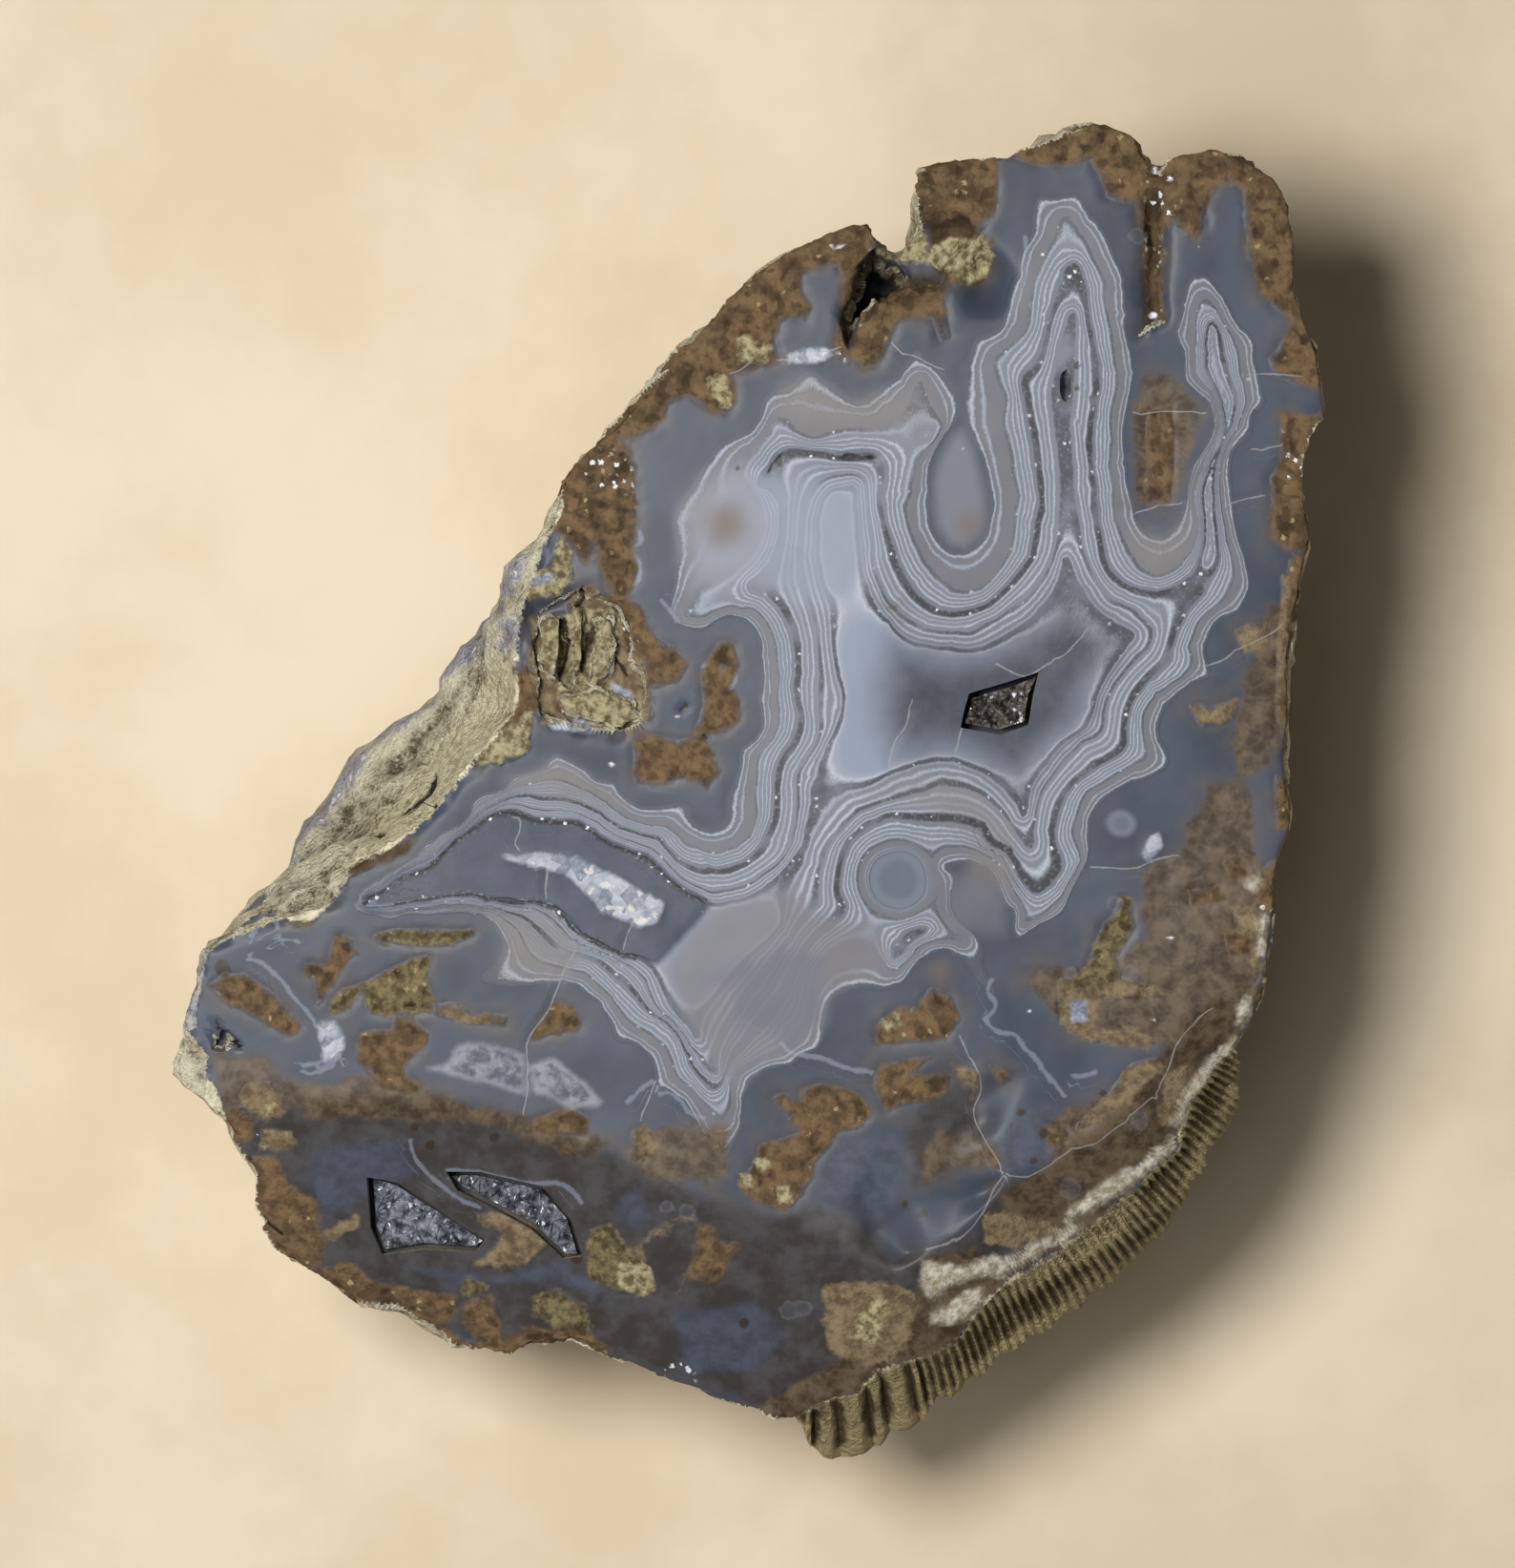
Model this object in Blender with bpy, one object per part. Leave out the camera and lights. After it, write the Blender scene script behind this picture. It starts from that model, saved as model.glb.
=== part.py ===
# Kentucky agate: half of a broken nodule, lying on its lumpy underside with the banded face up.
# Seen from above, +Y is the way the narrow end points and +X is the straighter long side.
# Readings are in millimetres, heights count from the flat spot that the stone rests on.

import math
import random

import bmesh
import bpy
from mathutils import Vector, noise
from mathutils.geometry import delaunay_2d_cdt, intersect_line_line_2d, intersect_point_line

MM = 0.001

# Height of the banded face above the resting spot, and how it rises towards +X and +Y.
FACE_HEIGHT = 36.0
FACE_RISE_X = 0.035
FACE_RISE_Y = 0.045
FACE_WAVE = 0.25
FACE_WAVE_SIZE = 13.0

# Spacing of the corners on the face, how far each is shifted, and how clear they stay of its lines.
FACE_GRID = 2.5
GRID_SHIFT = 0.25
GRID_HALF_WIDTH = 42.0
GRID_HALF_LENGTH = 48.0
CLEAR_OF_RIM = 0.5
CLEAR_OF_CREASE = 0.45
CREASE_TO_RIM = 0.7
WELD = 1e-5

# The spot that the stone rests on, an uneven ellipse under its balance point.
MIDDLE = Vector((4.0, -2.0))
SPOT_HALF_WIDTH = 12.0
SPOT_HALF_LENGTH = 15.5
SPOT_UNEVENNESS = 0.25
SPOT_WAVES = 2.0
LOWEST_LUMP = 0.3

# Side and underside: rings from the edge of the face down to the spot.
RINGS = 13
RIBBED_RINGS = 7
RIM_STEP = 0.4
SHOULDER_RINGS = 4.0
SHOULDER_WIDTH = 4.0
RIND_SLOPE = 1.15
SIDE_STEPS = 24
SIDE_POWER = 1.15
FOOT_POWER = 1.05
LUMP_SIZE = 13.0
LUMP_HEIGHT = 3.4
LUMP_OCTAVES = 3
KNOB_SIZE = 6.5
KNOB_HEIGHT = 2.2
KNOB_LEVEL = 0.45
LEDGE_FLATTENING = 1.7
LUMPS_AMONG_RIBS = 0.35
SHOULDER_FADE_RINGS = 1.5
SPOT_FADE_RINGS = 4.0
RIB_FADE_RINGS = 2.0
LONGEST_COLUMN_GAP = 3.2

# Ribbed side: ribs run down from the face, and the flutes of the lowest point are wider.
RIB_PITCH = 0.72
RIB_HEIGHT = 0.28
FLUTE_PITCH = 1.9
FLUTE_HEIGHT = 0.4
LOBE_LENGTH = 2.7
LOBE_DEPTH = 0.45
RIBS_TOP_Y = -17.6
RIBS_END_X = 13.0
FLUTES_END_X = 3.9

# Hollows: how deep each is cut, how thick its crystals are, and the space left around them.
GAP = 0.3
VUG_DEPTH = 3.4
DRUSE_DEPTH = 2.4
CUTTER_TOP = 42.0

# Crystals: how thick the crust is, how it climbs the walls, and how large and tall the points are.
CRUST_THICKNESS = 1.0
CRUST_TO_WALL = 0.1
CRUST_BELOW_FACE = 0.9
WALL_WIDTH = 0.9
VUG_POINT_SPACING = 0.75
VUG_POINT_HEIGHT = 0.35
DRUSE_POINT_SPACING = 0.9
DRUSE_POINT_HEIGHT = 0.4
POINT_HEIGHT_RANGE = (0.6, 1.4)
POINT_CLEAR_OF_POINT = 0.8
POINT_CLEAR_OF_WALL = 0.45
POINT_TRIES = 900
CRUST_REACH_X = 8.0
CRUST_REACH_Y = 6.0

# Broken lower part of the face: how steeply it falls away on the left and on the right.
BREAK_SLOPE_LEFT = 0.34
BREAK_SLOPE_RIGHT = 0.52
SLOPE_CHANGE_START_X = -5.0
SLOPE_CHANGE_WIDTH = 20.0
CHIP_DEPTH = 0.9
CHIP_FADE = 2.6
LEDGE_DROP = 2.2
CRACK_HALF_WIDTH = 0.9
CRACK_DEPTH = 1.3
STEP_WIDTH = 0.2
RECESS_DEPTH = 1.3

# Outline seen from above, clockwise from the left tip.
SILHOUETTE = [
    (-40.5, -18.6), (-39.6, -15.4), (-38.4, -12.0), (-38.2, -10.6), (-36.4, -8.2), (-33.6, -6.1),
    (-32.7, -4.1), (-32.7, -2.2), (-30.4, -0.7), (-29.6, 1.2), (-28.0, 3.5), (-26.2, 4.8),
    (-23.9, 6.3), (-21.8, 8.6), (-20.5, 11.2), (-18.0, 13.1), (-16.9, 16.2), (-15.0, 18.0),
    (-13.2, 20.3), (-12.9, 22.5), (-10.6, 24.7), (-8.2, 26.9), (-6.6, 29.2), (-4.0, 31.8),
    (-1.9, 34.0), (0.2, 36.3), (2.6, 38.0), (5.0, 39.3), (7.9, 40.3), (8.9, 39.9),
    (9.2, 39.1), (10.4, 38.6), (11.4, 39.3), (12.5, 39.8), (12.0, 43.0), (12.6, 44.2),
    (14.9, 44.8), (18.3, 45.2), (20.4, 46.0), (24.3, 47.3), (27.0, 46.6), (27.7, 45.0),
    (28.9, 43.9), (29.9, 44.8), (32.6, 45.4), (34.8, 44.7), (36.8, 43.4), (37.9, 41.9),
    (38.4, 38.5), (38.4, 35.6), (40.1, 30.8), (40.6, 26.9), (39.3, 24.2), (39.2, 21.0),
    (39.6, 18.3), (38.6, 13.5), (37.9, 9.0), (38.1, 6.6), (37.6, 2.8), (38.6, -1.5),
    (37.6, -3.4), (37.1, -7.0), (36.6, -10.7), (36.7, -12.8), (35.4, -15.8), (34.8, -17.6),
    (35.2, -20.2), (34.9, -22.8), (33.2, -24.8), (32.3, -26.8), (31.0, -29.4), (28.8, -31.9),
    (26.6, -34.1), (24.2, -36.1), (21.6, -37.8), (18.6, -39.7), (15.8, -42.0), (13.2, -43.6),
    (12.6, -44.6), (10.4, -45.4), (9.3, -46.6), (6.9, -47.4), (5.0, -46.9), (4.2, -45.4),
    (3.0, -44.3), (0.1, -43.3), (-2.4, -42.1), (-5.0, -41.2), (-8.4, -39.7), (-12.0, -38.3),
    (-15.0, -38.8), (-18.0, -39.7), (-20.2, -39.3), (-22.5, -37.9), (-24.8, -36.3), (-27.8, -35.9),
    (-30.2, -34.0), (-33.4, -32.4), (-34.4, -30.2), (-35.0, -26.2), (-36.4, -23.6), (-38.2, -21.2),
    (-40.3, -19.6),
]

# Where the face ends against the rind that slopes away on the left, and against the ribs.
RIND_EDGE = [
    (-12.7, 20.8), (-14.0, 17.0), (-15.2, 14.0), (-15.8, 9.4), (-15.8, 6.8), (-17.8, 4.1),
    (-20.5, 0.4), (-21.9, -1.4), (-25.1, -3.5), (-27.3, -4.4), (-28.6, -7.1), (-30.2, -8.5),
    (-32.1, -8.4), (-34.2, -6.6),
]
RIB_EDGE = [
    (35.3, -17.3), (33.4, -18.0), (31.3, -21.0), (30.4, -24.6), (27.0, -27.7), (24.1, -30.0),
    (21.7, -32.0), (17.6, -34.4), (16.2, -36.3), (14.9, -38.3), (12.6, -39.3), (9.2, -40.3),
    (8.0, -42.0), (5.4, -42.7), (3.4, -44.2),
]

# Lines on the face.
BREAK_LINE = [
    (-39.0, -21.4), (-31.5, -21.3), (-24.7, -21.0), (-20.0, -21.3), (-15.4, -22.6), (-9.0, -25.0),
    (-3.0, -28.0), (4.0, -29.6), (10.4, -33.2), (14.7, -31.0), (16.4, -29.3), (18.4, -26.4),
    (21.5, -25.5), (24.7, -23.5), (28.2, -20.4), (30.2, -17.2), (32.8, -14.4), (37.0, -13.4),
]
CHIP_EDGE = [
    (16.0, -17.8), (16.4, -21.0), (17.1, -24.2), (18.0, -26.1), (16.0, -29.0), (14.2, -30.6),
    (11.5, -31.8), (9.2, -30.3), (8.2, -30.1),
]
CHIP_INNER_SIDE = [(8.6, -25.5), (12.0, -20.5)]
LEDGE_OUTER_CORNER = (9.0, 44.0)
LEDGE = [
    (10.3, 37.9), (12.0, 36.5), (14.6, 36.5), (16.9, 36.9), (17.2, 38.4), (15.0, 39.6), (12.9, 39.3),
]
GLITTER_CRACK = [(28.7, 43.0), (28.4, 41.0), (28.7, 38.5), (28.4, 36.2), (28.6, 33.4)]
FAR = 90.0

# A rough recess near the left side, with the prisms and the layered sill that stand in it.
RECESS = [
    (-14.7, 13.2), (-11.6, 14.6), (-8.8, 13.4), (-7.0, 8.2), (-6.9, 5.2), (-9.0, 4.6), (-13.8, 5.6),
    (-14.9, 9.0),
]
PRISMS = [
    [(-14.0, 12.6), (-12.7, 13.0), (-12.8, 9.6), (-13.2, 8.4), (-14.1, 9.0)],
    [(-12.0, 13.6), (-11.2, 12.9), (-11.3, 9.4), (-12.0, 8.5)],
    [(-10.6, 12.6), (-9.2, 12.8), (-9.5, 8.8), (-10.6, 8.1)],
    [(-13.1, 7.4), (-10.2, 7.3), (-7.7, 7.0), (-7.5, 5.7), (-9.2, 5.3), (-13.0, 6.3)],
]

# Hollows in the face.
CLEFT = [
    (9.0, 38.7), (8.2, 37.4), (7.8, 35.3), (6.8, 33.4), (6.9, 31.2), (7.7, 33.2), (9.6, 34.9),
    (12.0, 36.3), (11.4, 37.3), (10.2, 37.8),
]
CLEFT_DEPTH = 9.0
CLEFT_TAPER = 0.6
VUG = [
    (15.7, 7.4), (18.4, 8.2), (20.6, 8.9), (20.2, 7.2), (19.9, 5.2), (17.9, 4.5), (15.1, 5.0),
    (15.4, 6.4),
]
LOWER_DRUSE = [
    (-26.6, -26.6), (-24.4, -27.0), (-21.6, -28.8), (-18.2, -31.0), (-19.0, -32.0), (-22.6, -31.8),
    (-25.6, -32.2), (-26.4, -30.2),
]
UPPER_DRUSE = [
    (-21.0, -26.2), (-18.6, -26.2), (-14.2, -27.2), (-12.2, -29.4), (-11.4, -32.2), (-12.8, -32.4),
    (-15.0, -30.3), (-17.6, -28.9), (-20.2, -27.6),
]

# Small pits in the rind and the face: place, height below the face, radii along X, Y and Z.
PITS = [
    ((-27.2, -4.2), 1.2, (1.1, 0.8, 1.3)),
    ((-31.6, -7.4), 1.8, (1.2, 0.9, 1.4)),
    ((-36.6, -17.0), 0.4, (1.0, 0.8, 1.2)),
    ((-37.7, -21.0), 1.4, (1.0, 0.8, 1.2)),
    ((22.4, 28.8), 0.2, (0.55, 1.4, 1.3)),
    ((-12.6, 9.6), 0.5, (1.0, 2.2, 1.1)),
]


def make_material(name, colour, roughness):
    material = bpy.data.materials.new(name)
    material.use_nodes = True
    shader = material.node_tree.nodes["Principled BSDF"]
    shader.inputs["Base Color"].default_value = (*colour, 1.0)
    shader.inputs["Roughness"].default_value = roughness
    shader.inputs["Metallic"].default_value = 0.0
    return material


def new_object(name, bm, material):
    """Turns a bmesh in millimetres into an object in metres, with its faces pointing out."""
    bmesh.ops.recalc_face_normals(bm, faces=bm.faces)
    bmesh.ops.triangulate(bm, faces=bm.faces)
    bmesh.ops.scale(bm, vec=(MM, MM, MM), verts=bm.verts)
    mesh = bpy.data.meshes.new(name)
    bm.to_mesh(mesh)
    bm.free()
    mesh.materials.append(material)
    obj = bpy.data.objects.new(name, mesh)
    bpy.context.scene.collection.objects.link(obj)
    return obj


def inside(point, outline):
    x, y = point[0], point[1]
    crossings = 0
    for (x0, y0), (x1, y1) in zip(outline, outline[1:] + outline[:1]):
        if (y0 > y) != (y1 > y) and x < x0 + (y - y0) * (x1 - x0) / (y1 - y0):
            crossings += 1
    return crossings % 2 == 1


def distance(point, line):
    """Distance from a point to an open line of points."""
    point = Vector((point[0], point[1]))
    nearest = FAR
    for start, end in zip(line, line[1:]):
        start, end = Vector(start), Vector(end)
        foot, along = intersect_point_line(point, start, end)
        foot = start.lerp(end, min(max(along, 0.0), 1.0))
        nearest = min(nearest, (point - foot).length)
    return nearest


def resample(line, step):
    """The line's own points, with more between them so that none is further apart than step."""
    points = []
    for start, end in zip(line, line[1:]):
        start, end = Vector(start), Vector(end)
        pieces = max(1, math.ceil((end - start).length / step))
        points += [start.lerp(end, i / pieces) for i in range(pieces)]
    return points + [Vector(line[-1])]


def reach(direction, line):
    """How far from the middle a ray first meets the line, or None."""
    found = []
    for start, end in zip(line, line[1:]):
        hit = intersect_line_line_2d(MIDDLE, MIDDLE + FAR * direction, Vector(start), Vector(end))
        if hit is not None:
            found.append((hit - MIDDLE).length)
    return min(found) if found else None


def beside(line, offset):
    """A copy of the line moved sideways by offset."""
    moved = []
    for i, point in enumerate(line):
        along = Vector(line[min(i + 1, len(line) - 1)]) - Vector(line[max(i - 1, 0)])
        across = Vector((-along.y, along.x)).normalized()
        moved.append(tuple(Vector(point) + offset * across))
    return moved


def inset(outline, amount):
    """The closed outline moved in by amount."""
    turning = sum(a[0] * b[1] - b[0] * a[1] for a, b in zip(outline, outline[1:] + outline[:1]))
    moved = []
    for i, point in enumerate(outline):
        along = (Vector(outline[(i + 1) % len(outline)]) - Vector(outline[i - 1])).normalized()
        inward = Vector((-along.y, along.x)) * math.copysign(1.0, turning)
        moved.append(Vector(point) + inward * amount)
    return moved


def loop(outline):
    return outline + outline[:1]


def face_height(x, y):
    """Height of the banded face, with its broken lower part, chip, ledges and glittering crack."""
    height = FACE_HEIGHT + FACE_RISE_X * x + FACE_RISE_Y * y
    height += FACE_WAVE * noise.noise(Vector((x, y, 0.0)) / FACE_WAVE_SIZE)
    right, left = BREAK_LINE[-1][1], BREAK_LINE[0][1]
    below_break = BREAK_LINE + [(FAR, right), (FAR, -FAR), (-FAR, -FAR), (-FAR, left)]
    if inside((x, y), below_break):
        share = min(max((x - SLOPE_CHANGE_START_X) / SLOPE_CHANGE_WIDTH, 0.0), 1.0)
        slope = BREAK_SLOPE_LEFT + share * (BREAK_SLOPE_RIGHT - BREAK_SLOPE_LEFT)
        height -= slope * distance((x, y), BREAK_LINE)
    if inside((x, y), CHIP_EDGE + CHIP_INNER_SIDE):
        height -= CHIP_DEPTH * math.exp(-distance((x, y), CHIP_EDGE) / CHIP_FADE)
    if inside((x, y), LEDGE + [LEDGE_OUTER_CORNER]):
        height -= LEDGE_DROP
    if inside((x, y), RECESS) and distance((x, y), loop(RECESS)) > STEP_WIDTH / 2:
        standing = [inside((x, y), p) or distance((x, y), loop(p)) < STEP_WIDTH / 2 for p in PRISMS]
        height -= 0.0 if any(standing) else RECESS_DEPTH
    from_crack = distance((x, y), GLITTER_CRACK)
    height -= CRACK_DEPTH * max(0.0, 1.0 - from_crack / CRACK_HALF_WIDTH)
    return height


def columns():
    """Outline points in order with the share of a rib or flute each is on, dense where ribbed."""
    found = []
    closed = loop(SILHOUETTE)
    along_ribs = 0.0
    for start, end in zip(closed, closed[1:]):
        start, end = Vector(start), Vector(end)
        length = (end - start).length
        middle = (start + end) / 2
        low_right = middle.y < RIBS_TOP_Y and middle.x > FLUTES_END_X
        ribbed = low_right and middle.x > RIBS_END_X
        fluted = low_right and not ribbed
        if ribbed:
            pieces = 2 * round(length / RIB_PITCH)
        elif fluted:
            pieces = 3 * max(1, round(length / FLUTE_PITCH))
        else:
            pieces = math.ceil(length / LONGEST_COLUMN_GAP)
        for i in range(pieces):
            point = start.lerp(end, i / pieces)
            raised = 0.0
            if ribbed:
                raised = RIB_HEIGHT if i % 2 else -RIB_HEIGHT / 2
                lobe = abs(math.sin(math.pi * (along_ribs + length * i / pieces) / LOBE_LENGTH))
                inward = (MIDDLE - point).normalized()
                point += inward * LOBE_DEPTH * (1.0 - lobe)
            elif fluted:
                raised = FLUTE_HEIGHT if i % 3 else -FLUTE_HEIGHT
            found.append((point, raised, ribbed and i % 2 == 1))
        if ribbed:
            along_ribs += length
    return found


def profile(point):
    """The side below one outline point as (distance from the middle, height), and its shoulder."""
    direction = (point - MIDDLE).normalized()
    outer = (point - MIDDLE).length
    limits = [outer - RIM_STEP]
    for edge in (RIND_EDGE, RIB_EDGE):
        met = reach(direction, edge)
        if met is not None:
            limits.append(met)
    inner = min(limits)
    width = outer - inner
    rim = MIDDLE + inner * direction
    rim_height = face_height(rim.x, rim.y)
    shoulder = rim_height - RIND_SLOPE * width
    spot = 1.0 / math.hypot(direction.x / SPOT_HALF_WIDTH, direction.y / SPOT_HALF_LENGTH)
    spot *= 1.0 + SPOT_UNEVENNESS * noise.noise(direction.to_3d() * SPOT_WAVES)
    line = [(inner, rim_height), (outer, shoulder)]
    for i in range(1, SIDE_STEPS + 1):
        turn = i / SIDE_STEPS * math.pi / 2
        across = max(math.cos(turn), 0.0) ** SIDE_POWER
        height = shoulder * (1.0 - math.sin(turn) ** FOOT_POWER)
        line.append((spot + (outer - spot) * across, height))
    shoulder_ring = 1.0 + (SHOULDER_RINGS - 1.0) * min(width / SHOULDER_WIDTH, 1.0)
    return direction, [Vector(p) for p in line], shoulder_ring


def along(line, share):
    """Point of a line at a share of its length."""
    lengths = [(b - a).length for a, b in zip(line, line[1:])]
    left = share * sum(lengths)
    for (a, b), length in zip(zip(line, line[1:]), lengths):
        if left <= length:
            return a.lerp(b, left / length), (b - a).normalized()
        left -= length
    return line[-1], (line[-1] - line[-2]).normalized()


def side_point(point, raised, ring):
    """Place of one corner of the side, lumpy away from the face's edge and the resting spot."""
    direction, line, shoulder_ring = profile(point)
    if ring <= shoulder_ring:
        flat, tangent = along(line[:2], ring / shoulder_ring)
    else:
        flat, tangent = along(line[1:], (ring - shoulder_ring) / (RINGS - shoulder_ring))
    spread = MIDDLE + flat.x * direction
    place = Vector((spread.x, spread.y, flat.y))
    if ring == 0:
        return place
    if ring == RINGS:
        return Vector((place.x, place.y, 0.0))
    outward = Vector((-tangent.y * direction.x, -tangent.y * direction.y, tangent.x))
    from_shoulder = abs(ring - shoulder_ring) / SHOULDER_FADE_RINGS
    fade = min(from_shoulder, 1.0, (RINGS - ring) / SPOT_FADE_RINGS)
    layered = Vector((place.x, place.y, place.z * LEDGE_FLATTENING))
    lumps = LUMP_HEIGHT * noise.fractal(layered / LUMP_SIZE, 1.0, 2.0, LUMP_OCTAVES)
    knobs = KNOB_HEIGHT * (KNOB_LEVEL - noise.voronoi(layered / KNOB_SIZE)[0][0])
    ribs = raised * min(1.0, max(0.0, (RIBBED_RINGS - ring) / RIB_FADE_RINGS))
    lumpy = (lumps + knobs) * fade * (LUMPS_AMONG_RIBS if raised else 1.0)
    place += outward * (lumpy + ribs)

    # Nothing stands out past the outline seen from above, or down to the resting spot.
    across = Vector((place.x, place.y)) - MIDDLE
    most = (point - MIDDLE).length
    if across.length > most:
        across *= most / across.length
    return Vector((MIDDLE.x + across.x, MIDDLE.y + across.y, max(place.z, LOWEST_LUMP)))


def build_nodule(material):
    bm = bmesh.new()
    stations = columns()
    rim = [side_point(point, raised, 0) for point, raised, _ in stations]
    face_outline = [(p.x, p.y) for p in rim]

    # Lines that stay sharp on the face, kept clear of its edge.
    creases = [BREAK_LINE, CHIP_EDGE, loop(LEDGE), GLITTER_CRACK]
    creases += [beside(GLITTER_CRACK, side * CRACK_HALF_WIDTH) for side in (-1.0, 1.0)]
    creases += [loop(RECESS), loop(inset(RECESS, STEP_WIDTH))]
    for prism in PRISMS:
        creases += [loop(prism), loop(inset(prism, -STEP_WIDTH))]
    closed_rim = loop(face_outline)
    flat_points = [Vector(p) for p in face_outline]
    edges = [(i, (i + 1) % len(rim)) for i in range(len(rim))]
    for crease in creases:
        last = None
        for point in resample(crease, FACE_GRID):
            if not inside(point, face_outline) or distance(point, closed_rim) < CREASE_TO_RIM:
                last = None
                continue
            flat_points.append(point)
            if last is not None:
                edges.append((last, len(flat_points) - 1))
            last = len(flat_points) - 1

    # Points between the lines, on a jittered triangular grid.
    pick = random.Random(7)
    row_height = FACE_GRID * math.sqrt(3) / 2
    row = 0
    y = -GRID_HALF_LENGTH
    shift = GRID_SHIFT * FACE_GRID
    rim_clearance = CLEAR_OF_RIM * FACE_GRID
    crease_clearance = CLEAR_OF_CREASE * FACE_GRID
    while y < GRID_HALF_LENGTH:
        x = -GRID_HALF_WIDTH + (row % 2) * FACE_GRID / 2
        while x < GRID_HALF_WIDTH:
            point = (x + pick.uniform(-shift, shift), y + pick.uniform(-shift, shift))
            clear = inside(point, face_outline) and distance(point, closed_rim) > rim_clearance
            if clear and all(distance(point, crease) > crease_clearance for crease in creases):
                flat_points.append(Vector(point))
            x += FACE_GRID
        y += row_height
        row += 1

    flat, _, triangles, origins, _, _ = delaunay_2d_cdt(flat_points, edges, [], 1, WELD)
    corners = [bm.verts.new((p.x, p.y, face_height(p.x, p.y))) for p in flat]
    ring_above = [None] * len(rim)
    for corner, given in zip(corners, origins):
        for i in given:
            if i < len(rim):
                ring_above[i] = corner
    for triangle in triangles:
        bm.faces.new([corners[i] for i in triangle])

    # Rings of the side, where every second column of the ribs stops below them.
    kept = list(range(len(stations)))
    for ring in range(1, RINGS + 1):
        if ring > RIBBED_RINGS:
            lower = [i for i in kept if not stations[i][2]]
        else:
            lower = kept
        ring_below = {i: bm.verts.new(side_point(stations[i][0], stations[i][1], ring)) for i in lower}
        for here, after in zip(lower, lower[1:] + lower[:1]):
            span = [i for i in kept if here <= i <= after] if after > here else [here, after]
            bm.faces.new([ring_above[i] for i in span] + [ring_below[after], ring_below[here]])
        ring_above = ring_below
        kept = lower
    bm.faces.new([ring_above[i] for i in kept])
    return new_object("agate_nodule", bm, material)


def cutter(name, outline, top, bottom, taper, material):
    """A tapered prism that stands on the outline, for cutting a hollow."""
    bm = bmesh.new()
    middle = sum((Vector(p) for p in outline), Vector((0.0, 0.0))) / len(outline)
    upper = [bm.verts.new((p[0], p[1], top)) for p in outline]
    lower = []
    for point in outline:
        drawn_in = middle + (Vector(point) - middle) * taper
        lower.append(bm.verts.new((drawn_in.x, drawn_in.y, bottom)))
    bm.faces.new(upper)
    bm.faces.new(lower[::-1])
    for i in range(len(outline)):
        j = (i + 1) % len(outline)
        bm.faces.new([upper[i], lower[i], lower[j], upper[j]])
    obj = new_object(name, bm, material)
    hide(obj)
    return obj


def hide(obj):
    obj.hide_render = True
    obj.display_type = "WIRE"


def cut(obj, tool):
    modifier = obj.modifiers.new(tool.name, "BOOLEAN")
    modifier.operation = "DIFFERENCE"
    modifier.solver = "EXACT"
    modifier.object = tool


def pit_cutter(name, place, below, radii, material):
    bm = bmesh.new()
    bmesh.ops.create_icosphere(bm, subdivisions=1, radius=1.0)
    bmesh.ops.scale(bm, vec=radii, verts=bm.verts)
    height = face_height(*place) - below
    bmesh.ops.translate(bm, vec=(place[0], place[1], height), verts=bm.verts)
    obj = new_object(name, bm, material)
    hide(obj)
    return obj


def lowest_face(outline):
    return min(face_height(x, y) for x, y in outline)


def crystal_crust(name, outline, depth, spacing, point_height, seed, material):
    """Crystals that line a hollow: a bowl of small flat-faced points, closed below."""
    pick = random.Random(seed)
    middle = sum((Vector(p) for p in outline), Vector((0.0, 0.0))) / len(outline)
    floor = lowest_face(outline) - depth + GAP
    drawn_in = inset(outline, GAP + CRUST_TO_WALL)
    rim = resample(loop(drawn_in), spacing)[:-1]
    closed = [tuple(p) for p in rim] + [tuple(rim[0])]
    points = list(rim)
    for _ in range(POINT_TRIES):
        across = pick.uniform(-CRUST_REACH_X, CRUST_REACH_X)
        point = middle + Vector((across, pick.uniform(-CRUST_REACH_Y, CRUST_REACH_Y)))
        if not inside(point, closed[:-1]) or distance(point, closed) < POINT_CLEAR_OF_WALL * spacing:
            continue
        if all((point - other).length > POINT_CLEAR_OF_POINT * spacing for other in points[len(rim):]):
            points.append(point)
    edges = [(i, (i + 1) % len(rim)) for i in range(len(rim))]
    flat, _, triangles, origins, _, _ = delaunay_2d_cdt(points, edges, [], 1, WELD)

    bm = bmesh.new()
    upper = []
    for point in flat:
        from_wall = distance(point, closed)
        rise = math.exp(-from_wall / WALL_WIDTH)
        height = floor + CRUST_THICKNESS + (depth - CRUST_THICKNESS - CRUST_BELOW_FACE) * rise
        upper.append(bm.verts.new((point.x, point.y, height)))
    top_faces = [bm.faces.new([upper[i] for i in triangle]) for triangle in triangles]
    on_rim = [None] * len(rim)
    for corner, given in zip(upper, origins):
        for i in given:
            if i < len(rim):
                on_rim[i] = corner
    lower = [bm.verts.new((p.co.x, p.co.y, floor)) for p in on_rim]
    for i in range(len(rim)):
        j = (i + 1) % len(rim)
        bm.faces.new([on_rim[i], on_rim[j], lower[j], lower[i]])
    bm.faces.new(lower)
    tips = bmesh.ops.poke(bm, faces=top_faces, offset=0.0)["verts"]
    for tip in tips:
        tip.co.z += point_height * pick.uniform(*POINT_HEIGHT_RANGE)
    return new_object(name, bm, material)


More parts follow.
